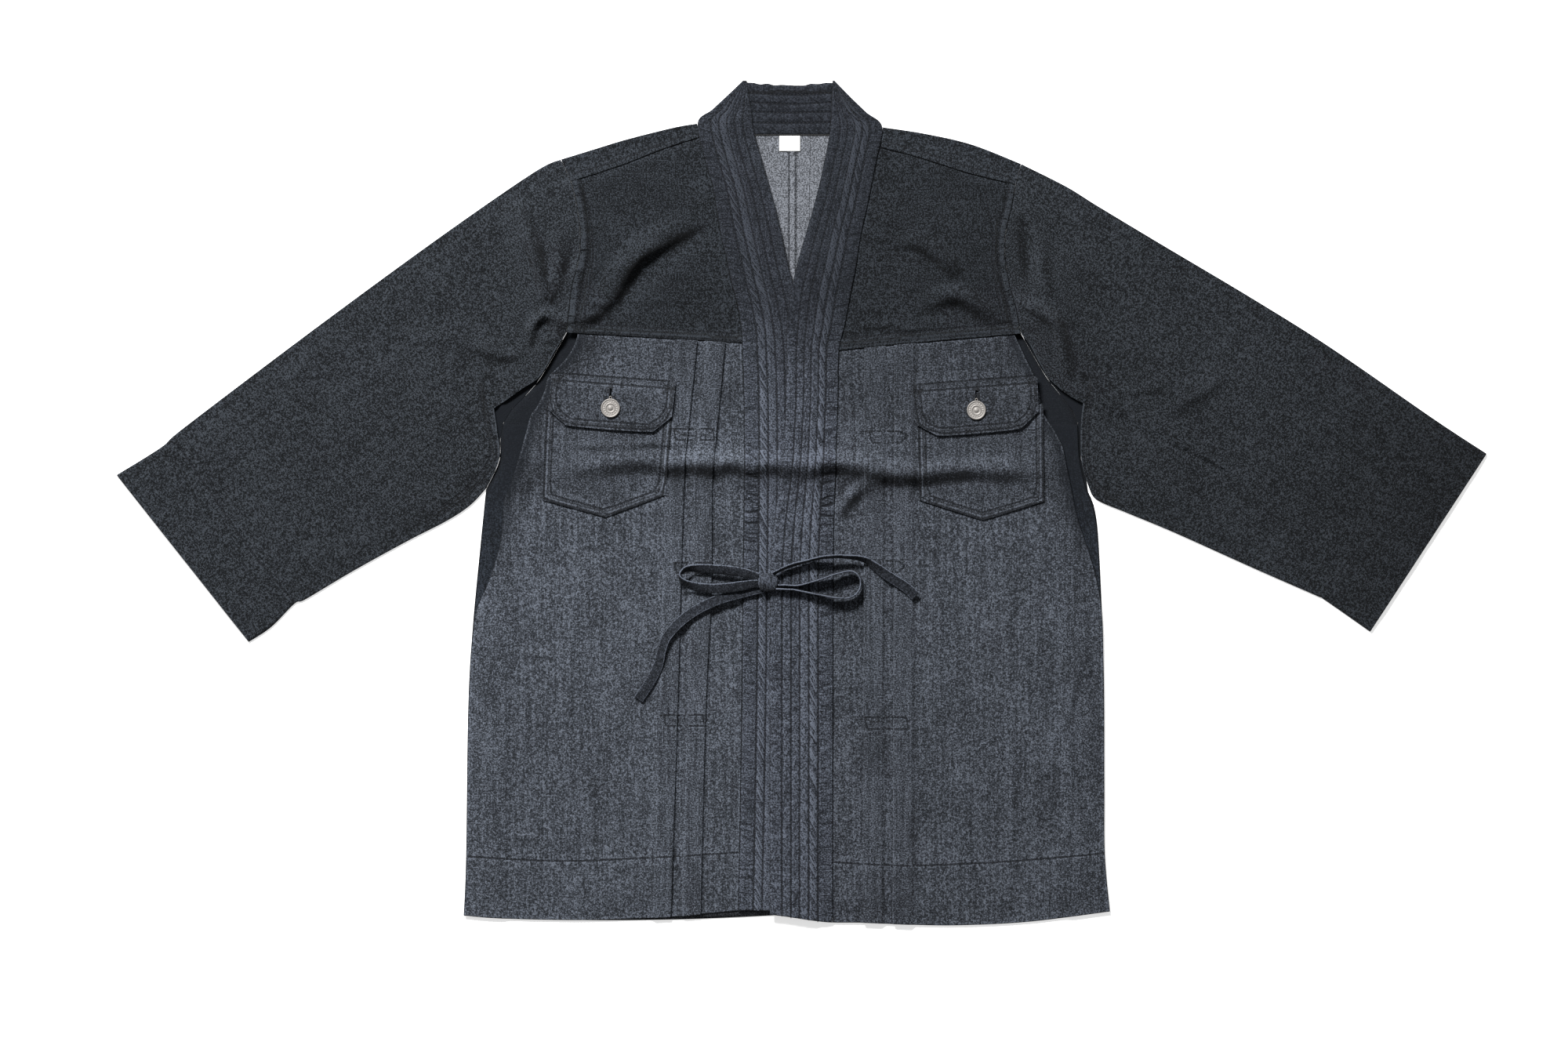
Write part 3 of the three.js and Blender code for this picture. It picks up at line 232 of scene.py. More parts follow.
RIGHT = {
  "name": "right",
  "inward": -1,
  "shoulder_fold": [(196, 303), (152, 320.3), (110, 330), (72.5, 335.7)],
  "shoulder_seam": [(191, 284), (178, 287.4), (147.4, 295), (102, 309.4), (71, 317.5)],
  "armhole": [(191, 284), (187, 262), (182, 240), (182, 217), (186, 194), (192, 172), (196, 151)],
  "sleeve_front_edge": [
    (196, 151), (204, 141), (213, 124), (223, 109), (240, 100.5), (252, 104), (249.5, 70), (250, 38),
    (256.5, 14),
  ],
  "sleeve_back_edge": [(196, 151), (219, 112), (241, 84), (249, 62), (250, 38), (256.5, 14)],
  "sleeve_top": [(196, 303), (236, 283), (264, 265.7), (320, 232), (404, 182), (474, 138), (565, 75), (612.2, 44)],
  "sleeve_under": [
    (256.5, 14), (264, 2.5), (292, -9.5), (334, -27), (404, -58.5), (460, -83), (467, -86.5),
    (508, -115.2),
  ],
  "side": [(256, 10), (262, -6), (265.7, -41), (270, -146), (270.6, -251), (271, -314), (275.5, -364.4)],
  "side_panel_edge": [
    (246.5, 70), (248, 40), (254, 12), (260.5, -6), (265.2, -41), (269.5, -146), (270.1, -251),
    (270.5, -314), (274.9, -362),
  ],
  "front_edge": [
    (190, 151), (194.5, 141), (201, 127), (208, 113), (212, 99), (214, 85), (219, 74.6), (226, 64),
    (233, 50), (236, 36), (240.5, 15), (244.7, -6), (250, -25), (261, -58), (268, -95), (269.8, -146),
    (270.4, -251), (270.8, -314), (275.5, -366),
  ],
  "chest_seam": [(196, 151), (79, 140.8), (33.5, 136)],
  "collar_seam": [
    (71, 317.5), (66.9, 306), (59.2, 267), (52.9, 239), (48.7, 211), (43.8, 186.6), (38.9, 160),
    (33.5, 136), (32.6, 99), (30.5, 29), (28.4, -41), (28, -180), (27.7, -376),
  ],
  "band_top": [(29.4, 377.4), (44, 362.5), (58, 349), (72, 336.2)],
  "band_edge": [
    (27.6, 377.4), (26.3, 350), (24.9, 329.4), (19.3, 300.7), (12.3, 270.6), (5.3, 246), (-1.8, 221.6),
    (-5.3, 207.6), (-9.5, 190), (-12.3, 169), (-13.7, 141), (-13.7, 99), (-15.8, 57), (-17.9, 29),
    (-26.3, -34), (-28.4, -97), (-28.4, -376),
  ],
  "hem": [(-30, -367.8), (-15.8, -369.3), (12.3, -373.5), (28, -375), (54, -375.2), (98, -377), (143, -377.4),
    (204, -374.2), (276, -365)],
  "back_hem": [(275.5, -364.4), (204, -371), (143, -374), (28, -371), (-8.8, -367.8)],
  "pleat_folds": [
    [(83, 146), (82.5, -100), (81.6, -377)],
    [(56.5, 143), (55.8, -100), (55, -377)],
  ],
  "pocket": {
    "mouth": 88, "outer": (216, 216.7), "inner": (103.3, 105.4), "corners": (1.1, 2.1), "point": (162, -15.8),
  },
  "flap": [(210.4, 113), (98.8, 104.7), (102.6, 69.7), (121.5, 59.9), (195.7, 66.2), (211.8, 81.6)],
  "button": (156, 82.8),
}

OUTLINES = ("shoulder_fold", "shoulder_seam", "armhole", "sleeve_front_edge", "sleeve_back_edge", "sleeve_top",
            "sleeve_under", "side", "side_panel_edge", "front_edge", "chest_seam", "collar_seam", "band_top",
            "band_edge", "hem", "back_hem")

NECK = {"left": -41.2, "right": 24.4, "left_top": -48.4, "right_top": 27, "seam": 329, "top": 376, "dip": 2.5}
LABEL = {"left": -20, "right": -1.3, "top": 328, "foot": 314.3, "wall": 1.0}

# ---------- how the cloth lies ----------
# Broad swells of the cloth: middle x and y, reach along x and y, height.
SWELLS = [
  (-145, 238, 62, 80, 5),  # left yoke
  (135, 235, 62, 80, 5),  # right yoke
  (-226, 175, 38, 70, 4),  # left armhole
  (214, 175, 38, 70, 4),  # right armhole
  (-380, 60, 130, 90, 1.4),  # left sleeve
  (375, 60, 130, 90, 1.4),  # right sleeve
  (-12, 60, 200, 70, 1.6),  # chest
  (-12, -190, 220, 150, 1),  # skirt
]

# Wide hollows and ridges: the middle line as (x, y, height), and the reach on either hand.
HOLLOWS = [
    ([(-186, 160, 0), (-150, 196, -3.2), (-110, 230, -3), (-80, 254, 0)], 20),
    ([(68, 238, 0), (98, 222, -2.4), (128, 196, 0)], 20),
    ([(90, 180, 0), (130, 172, -2.2), (176, 158, 0)], 16),
    ([(-266, 278, 0), (-244, 222, 2.6), (-231, 170, 0)], 20),
    ([(-362, 144, 0), (-309, 146, 1.4), (-250, 128, 0)], 18),
    ([(322, 80, 0), (352, 96, 1.4), (390, 120, 0)], 16),
]

KNOT = {"x": -29.8, "y": -71.1, "z": 14.9, "half_x": 9, "half_y": 8, "half_z": 4}
# Each strip's stops: x, y, z and how far it leans from lying flat to standing on edge, in degrees.
TIE_STRIPS = {
  "tie_loop_left": [
    (-39.3, -71.5, 15.2, 150), (-54, -74, 14.8, 160), (-75, -76.5, 13, 165), (-94, -75, 12, 150),
    (-106, -70, 13.4, 120), (-109, -64, 14, 90), (-104, -59.5, 13.4, 60), (-92, -58.5, 12.4, 35),
    (-75, -59.5, 12, 25), (-54, -62, 13, 25), (-38.4, -65.8, 15, 30),
  ],
  "tie_loop_right": [
    (-20.7, -73, 15.4, 90), (-4, -73.4, 15.4, 90), (12, -69.5, 15.1, 92), (33, -62.5, 13.6, 96),
    (45, -60.8, 12.6, 96), (51.5, -66, 12, 94), (52, -76, 11.6, 90), (45, -83.6, 11.8, 86),
    (33, -84.6, 12.8, 84), (12, -81.2, 15, 86), (-6, -77.8, 15.4, 90), (-22.5, -76.6, 15.4, 90),
  ],
  "tie_tail_left": [
    (-34.5, -76.6, 9.9, 10), (-58, -81.5, 9.8, 10), (-86, -91.4, 9.6, 10), (-107, -105, 10, 14),
    (-121, -121, 10.4, 30), (-125, -132, 9.8, 34), (-128.5, -146, 7.8, 16), (-135.5, -160, 6.6, 6),
    (-145.6, -175.2, 6.2, 3),
  ],
  "tie_tail_right": [
    (-25.2, -62.9, 16, 68), (-12, -56.6, 16.2, 74), (5, -52, 16.2, 78), (21, -48.4, 15.6, 78),
    (41, -48.2, 13.6, 72), (57, -51, 12, 56), (66, -57, 10.8, 36), (77, -64.8, 9.8, 18), (94, -76, 9.2, 8),
    (101.5, -83, 8.6, 4),
  ],
}

# Sharp creases: a crest as (x, y, height), and how far it falls on its left and on its right hand.
CREASES = [
    ([(-197, 163, 3), (-186, 168, 5.5), (-169, 183, 7.5), (-159, 200, 8.5), (-145, 218, 8.5), (-127, 229, 7),
      (-103, 243, 4), (-88, 252, 0.5)], 24, 9),
    ([(-175, 188.6, 0), (-160.7, 212.6, 1.2), (-155.7, 217.4, 0)], 5, 3),
    ([(-179.5, 190, 0), (-179.5, 197, -1.5), (-178, 206, 0)], 8, 8),
    ([(-192, 176, 0), (-183, 173, -2), (-172, 170, 0)], 6, 6),
    ([(84, 231, 0.5), (102, 231, 4), (119, 222, 5.5), (130, 211, 5.5), (137, 201, 1)], 16, 8),
    ([(101, 171.6, 0.5), (117.9, 178.9, 3), (134.8, 184.5, 6), (146.7, 181.3, 7), (158.8, 172.8, 6),
      (172, 164, 2)], 15, 10),
    ([(157.6, 287.4, 0), (162.5, 269.3, -1.2), (170.9, 251, -1.2), (170.9, 234.3, 0)], 2.4, 2.4),
    ([(47.9, 159.2, 0), (68.2, 157.1, 1.6), (86.5, 160.2, 0)], 5, 2.4),
    ([(74.5, 153, 0), (99.8, 154.4, 1.2), (122.9, 155.8, 0)], 5, 2.4),
    ([(200, 262, 0), (201, 232, -3.5), (204, 205, -3.5), (210, 192, 0)], 9, 9),
    ([(214, 240, 0), (214, 215, 3.5), (218, 192, 2)], 10, 7),
    ([(-205, 236, 0), (-206, 215, -2.5), (-210, 199, 0)], 6, 6),
    ([(-231, 240, 0), (-228, 215, -2), (-226, 192, 0)], 5, 5),
    ([(-218, 244, 0), (-217, 216, 3.5), (-219, 188, 1)], 7, 9),
    ([(-254, 268, 0.5), (-246, 240, 5), (-236, 212, 6.5), (-228, 186, 4)], 12, 7),
    ([(-216, 30, 0.5), (-195, 32, 2), (-165, 36, 4.5), (-140, 37, 6), (-120, 33.5, 5), (-98, 35.5, 6.5),
      (-80, 33.5, 6), (-62, 36, 6.5), (-48, 33, 5), (-30, 35, 6), (-10, 33, 5), (8, 32, 6), (22, 36, 7.5),
      (45, 34, 8), (60, 30, 8), (80, 26, 8.5), (104, 25, 7), (120, 28, 6.5), (150, 30, 5.5), (175, 29, 5),
      (195, 28, 2.5), (216, 27, 0.5)], 15, 13),
    ([(62, 22, 2), (53, 14, 4), (44, 6, 4.5), (37, -4, 3.5), (32, -14, 0)], 9, 8),
    ([(-216, 52, 0), (-170, 50, 1.6), (-130, 53, 1.8), (-96, 50, 0)], 8, 5),
    ([(-241, 146, 2), (-238, 160, 7), (-229, 167, 7.5), (-219, 160, 5), (-217, 148, 2)], 9, 5),
    ([(-233.6, 145.5, 0.3), (-226, 145, 1.6), (-218.6, 142.4, 0.3)], 4, 2.6),
    ([(-232.5, 136.9, 0.3), (-227, 136.5, 1.4), (-221.8, 134.8, 0.3)], 4, 2.6),
    ([(-242, 156, 0), (-239, 146, -2), (-235.7, 134.8, 0)], 5, 5),
    ([(-295.8, 143.4, 0), (-285, 136, 3.2), (-263.6, 130.6, 3.2), (-250.7, 131.6, 0.4)], 11, 6),
    ([(-355, 144, 0), (-325, 147, 1), (-296, 143, 0)], 9, 6),
    ([(200, 176, 2), (215, 168, 6), (226, 158, 7.5), (232, 140, 6.5), (236, 118, 2.5)], 12, 6),
    ([(229, 119, 0), (227, 134, 1.2), (225.5, 148, 0)], 3, 3),
    ([(-284, 114, 0), (-278, 106, -4), (-271, 94, -4), (-268, 84, 0)], 5, 5),
    ([(252, 116, 0), (255, 106, -4), (258, 92, -4), (257, 80, 0)], 5, 5),
    ([(331, 85, 0), (358, 97, 1.5), (385, 116, 0)], 9, 5),
    ([(283, 96, 0), (308, 101, 1.5), (331, 102, 0)], 9, 5),
    ([(-100.5, -83, 0), (-99.8, -130, 1), (-100.5, -188, 0)], 5, 5),
    ([(-131, -251, 0), (-130.5, -285, 1.1), (-131, -312, 0)], 6, 6),
    ([(-268, -134, 0), (-235, -136, 1.3), (-198, -135, 0)], 9, 5),
    ([(-268, -293, 0), (-250, -299, 1), (-233, -303, 0)], 7, 5),
    ([(226, -223, 0), (240, -178, 1.6), (250, -132, 0)], 11, 7),
    ([(186.5, -314, 0), (187.5, -274, 1.4), (186.5, -233, 0)], 8, 6),
    ([(247, -286, 0), (242, -242, 1.2), (238, -198, 0)], 8, 6),
    ([(205, -251, 0), (219, -241, 1), (233, -230, 0)], 8, 5),
]

# ---------- rows of stitches, as places on the piece that they hold ----------
ROWS = {
    "yoke_left": [
        [(-196, 160), (-91, 153.4), (-58, 151.5)],
        [(-206, 153.2), (-91, 146.6), (-55, 144.6)],
        [(-199.5, 285.5), (-195, 264), (-192, 240), (-192, 217), (-195, 196), (-199, 172), (-201, 156)],
        [(-195, 280.4), (-190, 262.9), (-186.5, 238), (-186.5, 216), (-189, 194), (-193, 174), (-195, 157)],
    ],
    "yoke_right": [
        [(36, 146.5), (98.4, 152.6), (184, 160.1)],
        [(34, 139.5), (98.4, 145.6), (192, 153.0)],
        [(185.5, 281), (181.5, 262), (176.5, 240), (176, 218), (179.5, 195), (185.5, 173), (189, 157)],
        [(163, 281), (167, 262), (171, 240), (170, 218), (173, 196), (178, 174), (181, 160)],
    ],
    "back_left": [
        [(-204, 294), (-160, 307.5), (-132, 318.6), (-108, 327.1), (-95, 331)],
        [(-11.2, 331), (-11.2, -366)],
        [(-297, -316), (-217, -320), (-143, -317.5), (-12, -314)],
    ],
    "back_right": [
        [(188, 290), (147.4, 300.8), (102, 315.2), (75, 323)],
        [(-5.6, 331), (-5.6, -366)],
        [(-5, -314), (98, -324), (187, -320.3), (269, -313.3)],
    ],
    "front_left": [
        [(-298, -316), (-217.4, -320), (-143.2, -317.5), (-60.6, -312.6), (-56, -312.4)],
        [(-113.8, 66), (-78, 66), (-78, 56), (-113.8, 56), (-113.8, 66)],
        [(-113.8, -53.5), (-78, -53.5), (-78, -62.7), (-113.8, -62.7), (-113.8, -53.5)],
        [(-122.9, -189.4), (-86.5, -189.4), (-86.5, -199.2), (-122.9, -199.2), (-122.9, -189.4)],
        [(-222.5, 116.2), (-112.6, 108.3)],
    ],
    "front_right": [
        [(29, -321), (97.7, -324.1), (186.6, -320.3), (269, -313.3)],
        [(60.6, 64), (94.9, 64), (94.9, 53.6), (60.6, 53.6), (60.6, 64)],
        [(72.5, -52), (92.8, -52), (92.8, -62), (72.5, -62), (72.5, -52)],
        [(56.4, -191.5), (95.6, -191.5), (95.6, -202), (56.4, -202), (56.4, -191.5)],
        [(210.2, 113.8), (99, 105.5)],
    ],
    "sleeve_left": [
        [(-566.7, 67.6), (-548.1, 38.9), (-497.4, -35.4), (-473.6, -65.5), (-453.3, -88.6)],
        [(-283.5, 99.8), (-277.3, 64), (-272.5, 39.6), (-295, 9), (-324, -12)],
        [(-288, 99.8), (-281.8, 64), (-277.6, 42), (-298, 14.5), (-327, -7)],
    ],
    "sleeve_right": [
        [(566, 68.3), (538, 30.5), (499.5, -38.2), (463.8, -81.6)],
        [(256, 103), (254.2, 85), (252, 64), (253.4, 30), (262, 12), (280, 0)],
        [(260.6, 103), (258.8, 85), (256.6, 64), (258, 32), (265.6, 15), (283, 4)],
    ],
}
STRAIGHT_ROWS = 5  # a row with this many places that ends where it starts is a straight-sided box


# ---------- lines ----------
def smooth(start, end, value):
    t = np.clip((value - start) / (end - start), 0, 1)
    return t * t * (3 - 2 * t)


def spline(places, per_span=14):
    """Places along a smooth curve through the given ones."""
    count = len(places)
    t = np.linspace(0, count - 1, (count - 1) * per_span + 1)
    i = np.minimum(t.astype(int), count - 1)
    w = (t - i)[:, None]
    before, here = places[np.maximum(i - 1, 0)], places[i]
    after, beyond = places[np.minimum(i + 1, count - 1)], places[np.minimum(i + 2, count - 1)]
    start, end = (after - before) / 2, (beyond - here) / 2
    return ((2 * here - 2 * after + start + end) * w**3
            + (-3 * here + 3 * after - 2 * start - end) * w**2 + start * w + here)


def shares(length, pitch, rims=(True, True)):
    """Shares of a length, a pitch apart, with closer ones at each rounded rim."""
    near = list(RIM[:-1]) if rims[0] else []
    far = [length - d for d in reversed(RIM[:-1])] if rims[1] else []
    start, end = (RIM[-1] if rims[0] else 0), length - (RIM[-1] if rims[1] else 0)
    even = np.linspace(start, end, max(2, round((end - start) / pitch) + 1))
    ends = ([0] if rims[0] else []), ([length] if rims[1] else [])
    return np.concatenate([ends[0], near, even, far, ends[1]]) / length


class Line:
    """A line through a table's places, smooth or straight-sided, known by its length."""

    def __init__(self, places, straight=False):
        places = np.array(places, float)
        self.places = places if straight or len(places) < 3 else spline(places)
        steps = np.linalg.norm(np.diff(self.places[:, :2], axis=0), axis=1)
        self.run = np.concatenate([[0], np.cumsum(steps)])
        self.length = self.run[-1]

    def at(self, where):
        run = np.clip(where, 0, 1) * self.length
        return np.stack([np.interp(run, self.run, column) for column in self.places.T], axis=-1)

    def _crossing(self, known, wanted, value):
        a, b = self.places[:, known], self.places[:, wanted]
        if a[-1] < a[0]:
            a, b = a[::-1], b[::-1]
        return np.interp(value, a, b)

    def x_at(self, y):
        return self._crossing(1, 0, y)

    def y_at(self, x):
        return self._crossing(0, 1, x)

    def near(self, x, y, step=6):
        """For places x, y: the distance to the line, how far along it, and 1 on its left hand or -1."""
        stops = np.linspace(0, 1, max(1, round(self.length / step)) + 1)
        knots = self.at(stops)[:, :2]
        best = np.full(np.shape(x), np.inf)
        along, hand = np.zeros(np.shape(x)), np.ones(np.shape(x))
        for k, (a, b) in enumerate(zip(knots[:-1], knots[1:])):
            dx, dy = b - a
            t = np.clip(((x - a[0]) * dx + (y - a[1]) * dy) / np.maximum(dx * dx + dy * dy, 1e-9), 0, 1)
            ex, ey = x - a[0] - t * dx, y - a[1] - t * dy
            distance = np.hypot(ex, ey)
            closer = distance < best
            best = np.where(closer, distance, best)
            along = np.where(closer, (stops[k] + t * (stops[k + 1] - stops[k])) * self.length, along)
            hand = np.where(closer, np.where(dx * ey - dy * ex > 0, 1, -1), hand)
        return best, along, hand


def row_line(places):
    return Line(places, straight=len(places) == STRAIGHT_ROWS and places[0] == places[-1])


def noise(x, y, size, seed):
    """Smooth hills between -1 and 1, about size apart."""
    x, y = x / size + 31.7 * seed, y / size - 17.3 * seed
    i, j = np.floor(x), np.floor(y)

    def chance(i, j):
        value = np.sin(i * 127.1 + j * 311.7 + seed * 74.7) * 43758.5453
        return 2 * (value - np.floor(value)) - 1

    u, v = smooth(0, 1, x - i), smooth(0, 1, y - j)
    low = chance(i, j) * (1 - u) + chance(i + 1, j) * u
    high = chance(i, j + 1) * (1 - u) + chance(i + 1, j + 1) * u
    return low * (1 - v) + high * v


def side_of(table):
    lines = {key: Line(value) for key, value in table.items() if key in OUTLINES}
    lines["pleat_folds"] = [Line(fold) for fold in table["pleat_folds"]]
    lines["seam"] = Line(table["band_top"] + table["collar_seam"][1:])
    plain = {key: value for key, value in table.items() if key not in lines}
    return SimpleNamespace(**plain, **lines, chest_foot=table["chest_seam"][-1][1],
                           foot_x=table["collar_seam"][-1][0], foot_y=table["collar_seam"][-1][1],
                           yoke_top=table["collar_seam"][0][1])


SIDES = {"left": side_of(LEFT), "right": side_of(RIGHT)}


# ---------- the lie of the cloth, softened by long use ---
def bilinear(grid, x, y, x0, y0, step):
    fx = np.clip((x - x0) / step, 0, grid.shape[1] - 1.001)
    fy = np.clip((y - y0) / step, 0, grid.shape[0] - 1.001)
    i, j = fy.astype(int), fx.astype(int)
    v, u = fy - i, fx - j
    return ((grid[i, j] * (1 - u) + grid[i, j + 1] * u) * (1 - v)
            + (grid[i + 1, j] * (1 - u) + grid[i + 1, j + 1] * u) * v)


@functools.lru_cache(maxsize=1)
def relief():
    """Heights over the whole garment on a 1 mm grid, and the grid's first corner."""
    x0, y0 = -632, -396
    x, y = np.meshgrid(np.arange(x0, 633.0), np.arange(y0, 397.0))
    height = np.full(x.shape, SOFTNESS) + 0.5 * noise(x, y, 34, 1) + 0.22 * noise(x, y, 12, 2)
    for middle_x, middle_y, reach_x, reach_y, swell in SWELLS:
        height += swell * np.exp(-((x - middle_x) / reach_x) ** 2 - ((y - middle_y) / reach_y) ** 2)
    for places, up, down in CREASES + [(t, w, w) for t, w in HOLLOWS]:
        xs, ys = [p[0] for p in places], [p[1] for p in places]
        reach = max(up, down) + 1
        cols = slice(int(min(xs) - reach - x0), int(max(xs) + reach - x0) + 2)
        rows = slice(int(min(ys) - reach - y0), int(max(ys) + reach - y0) + 2)
        line = Line(places)
        distance, along, hand = line.near(x[rows, cols], y[rows, cols], 4)
        crest = np.interp(along, line.run, line.places[:, 2])
        height[rows, cols] += crest * (1 - smooth(0, np.where(hand > 0, up, down), distance))
    coarse = 4
    cx, cy = np.meshgrid(np.arange(x0, 637.0, coarse), np.arange(y0, 401.0, coarse))
    edge = np.full(cx.shape, np.inf)
    for side in SIDES.values():
        for line in (side.band_top, side.shoulder_fold, side.sleeve_top, side.sleeve_under, side.side, side.hem):
            edge = np.minimum(edge, line.near(cx, cy, 20)[0])
    edge = bilinear(edge, x, y, x0, y0, coarse)
    return np.maximum(LEAST_RISE, height) * smooth(0, EDGE_REACH, edge), x0, y0


def rise(x, y):
    """Height of the cloth, softened by long use, above a pressed layer."""
    grid, x0, y0 = relief()
    return bilinear(grid, np.asarray(x, float), np.asarray(y, float), x0, y0, 1)


# ---------- meshes ----------
def fill(first, final, start, end):
    """The plan between four edges: first and final run across, start and end run down."""
    def share(places):
        run = np.concatenate([[0], np.cumsum(np.linalg.norm(np.diff(places, axis=0), axis=1))])
        return run / run[-1]

    u = ((share(first) + share(final)) / 2)[None, :, None]
    v = ((share(start) + share(end)) / 2)[:, None, None]
    plan = ((1 - v) * first[None] + v * final[None] + (1 - u) * start[:, None] + u * end[:, None]
            - (1 - v) * ((1 - u) * first[0] + u * first[-1]) - v * ((1 - u) * final[0] + u * final[-1]))
    plan[:, 0], plan[:, -1], plan[0], plan[-1] = start, end, first, final
    return plan


def rounded(distance, radius=RIM[-1], least=0.18):
    t = np.clip(distance / radius, 0, 1)
    return least + (1 - least) * np.sqrt(t * (2 - t))


def rim_distance(*pairs):
    """Distance of each grid point from the nearest rounded rim, from (shares, length) of rows and columns."""
    (rows, down), (cols, across) = pairs
    to_row = np.minimum(rows, 1 - rows) * down
    to_col = np.minimum(cols, 1 - cols) * across
    return np.minimum(to_row[:, None], to_col[None, :])


def link_object(name, data):
    made = bpy.data.objects.new(name, data)
    bpy.context.scene.collection.objects.link(made)
    return made


# What the denim reads at each corner of a piece:
#   pucker              place along and across the nearest row, and how strongly that row gathers the cloth
#   row                 distance to that row, signed by its hand
#   worn      rubbed wear and painted highlight above 0, dark seams and painted shade below it
#   crease              distance to the nearest crease of the quilting, its painted highlight and its painted shade
#   dim, deep, lining   shares of painted shade and darker tone, of painted deep shade, of the denim's reverse
def new_piece(name, corners, faces, fields=()):
    """A smooth-shaded object of quads with per-corner fields, its faces turned outwards."""
    a, b, c = corners[faces[:, 0]], corners[faces[:, 1]], corners[faces[:, 2]]
    d = corners[faces[:, 3]]
    volume = np.sum(a * np.cross(b, c)) + np.sum(a * np.cross(c, d))
    if volume < 0:
        faces = faces[:, ::-1]
    mesh = bpy.data.meshes.new(name)
    mesh.vertices.add(len(corners))
    mesh.vertices.foreach_set("co", (corners * MM).astype(np.float32).ravel())
    mesh.loops.add(faces.size)
    mesh.loops.foreach_set("vertex_index", np.ascontiguousarray(faces, dtype=np.int32).ravel())
    mesh.polygons.add(len(faces))
    mesh.polygons.foreach_set("loop_start", np.arange(0, faces.size, 4, dtype=np.int32))
    mesh.update(calc_edges=True)
    mesh.validate()
    mesh.shade_smooth()
    for key, values in dict(fields).items():
        vector = values.ndim == 2
        attribute = mesh.attributes.new(key, "FLOAT_VECTOR" if vector else "FLOAT", "POINT")
        attribute.data.foreach_set("vector" if vector else "value", values.astype(np.float32).ravel())
    return link_object(name, mesh)


# by default the lower skin carries 0.8 of painted deep shade
def slab(name, top, bottom, fields=(), ring=False, holes=None, under=(("deep", 0.8),)):
    """A closed wall between two skins of rows of places; under gives what differs on the lower skin."""
    rows, cols = top.shape[:2]
    index = np.arange(rows * cols).reshape(rows, cols)
    if ring:
        index = np.concatenate([index, index[:, :1]], axis=1)
    lower = index + rows * cols
    solid = np.ones((rows - 1, index.shape[1] - 1), bool) if holes is None else ~holes
    skin = lambda g: np.stack([g[:-1, :-1], g[1:, :-1], g[1:, 1:], g[:-1, 1:]], axis=-1)[solid]
    faces = [skin(index), skin(lower)[:, ::-1]]
    for down, across in ((0, 1), (1, 0)):
        if down and ring and holes is None:
            continue
        closed = np.pad(solid, ((across, across), (down, down)))
        ahead = closed[:, 1:] & ~closed[:, :-1] if down else closed[1:] & ~closed[:-1]
        behind = closed[:, :-1] & ~closed[:, 1:] if down else closed[:-1] & ~closed[1:]
        for edges, turned in ((ahead, down), (behind, across)):
            i, j = np.nonzero(edges)
            m, n = i + down, j + across
            wall = np.stack([index[i, j], index[m, n], lower[m, n], lower[i, j]], axis=-1)
            faces.append(wall[:, ::-1] if turned else wall)
    corners = np.concatenate([top.reshape(-1, 3), bottom.reshape(-1, 3)])
    fields, under, both = dict(fields), dict(under), {}
    for key in {**fields, **under}:
        values = fields.get(key, np.zeros((rows, cols)))
        flat = values.reshape(rows * cols) if values.ndim == 2 else values.reshape(rows * cols, 3)
        lower_flat = np.full_like(flat, under[key]) if key in under else flat
        both[key] = np.concatenate([flat, lower_flat])
    return new_piece(name, corners, np.concatenate(faces), both)


def raised(plan, z):
    return np.concatenate([plan, z[..., None]], axis=-1)


def pucker_field(lines, x, y, reach=8.0):
    """Along, across and strength of the puckers that the nearest row draws, and the distance to that row."""
    best = np.full(x.shape, np.inf)
    along, across = np.zeros(x.shape), np.zeros(x.shape)
    for k, line in enumerate(lines):
        distance, run, hand = line.near(x, y, 12)
        closer = distance < best
        best = np.where(closer, distance, best)
        along = np.where(closer, run + ROW_START * k, along)
        across = np.where(closer, distance * hand * (-1) ** k, across)
    strength = 1 - smooth(reach * 0.35, reach, best)
    return {"pucker": np.stack([along, across, strength], axis=-1), "row": np.where(best < NO_ROW, across, NO_ROW)}


def painted_slope_light(x, y):
    """Painted highlight on the slopes that face the shoulder, painted shade on the ones that fall away from it."""
    fall = (rise(x - SLOPE_STEP, y + SLOPE_STEP) - rise(x + SLOPE_STEP, y - SLOPE_STEP)) / (2 * SLOPE_STEP)
    uneven = 0.65 + 0.5 * noise(x, y, 14, 33)
    return np.clip(-LIT["gain"] * fall, 0, LIT["most"]) - np.clip(SHADED["gain"] * fall, 0, SHADED["most"]) * uneven


def rim_wear_and_light(rim, edge=-0.9, ridge=0.55, reach=1.0):
    """At a rim a dark line, dark seam and painted shade; beside it a light ridge, rubbed wear and painted highlight.
    """
    rim = rim / reach
    return edge * (1 - smooth(0.2, 0.9, rim)) + ridge * smooth(0.5, 1.2, rim) * (1 - smooth(1.6, 2.8, rim))


def cloth_fields(name, x, y, rim, reach=8.0):
    lines = [row_line(places) for places in ROWS.get(name, [])]
    return {**pucker_field(lines, x, y, reach), "worn": rim_wear_and_light(rim) + painted_slope_light(x, y)}


def ripple(fields, height=0.3):
    """Low waves that a row of stitches draws across itself, and the groove that it lies in."""
    along, across, strength = np.moveaxis(fields["pucker"], -1, 0)
    groove = 0.28 * np.exp(-(fields["row"] / 1.1) ** 2)
    return height * strength * noise(along, across * 0.35, 4.2, 7) - groove


def cloth(name, plan, foot, rim, thickness=WALL, radius=RIM[-1], fields=None, holes=None):
    """A sheet over a plan, standing on its foot heights, with rounded rims."""
    fields = fields or cloth_fields(name, plan[..., 0], plan[..., 1], rim)
    foot = foot + ripple(fields)
    half = thickness / 2 * rounded(rim, radius)
    middle = foot + thickness / 2
    return slab(name, raised(plan, middle + half), raised(plan, middle - half), fields, holes=holes)


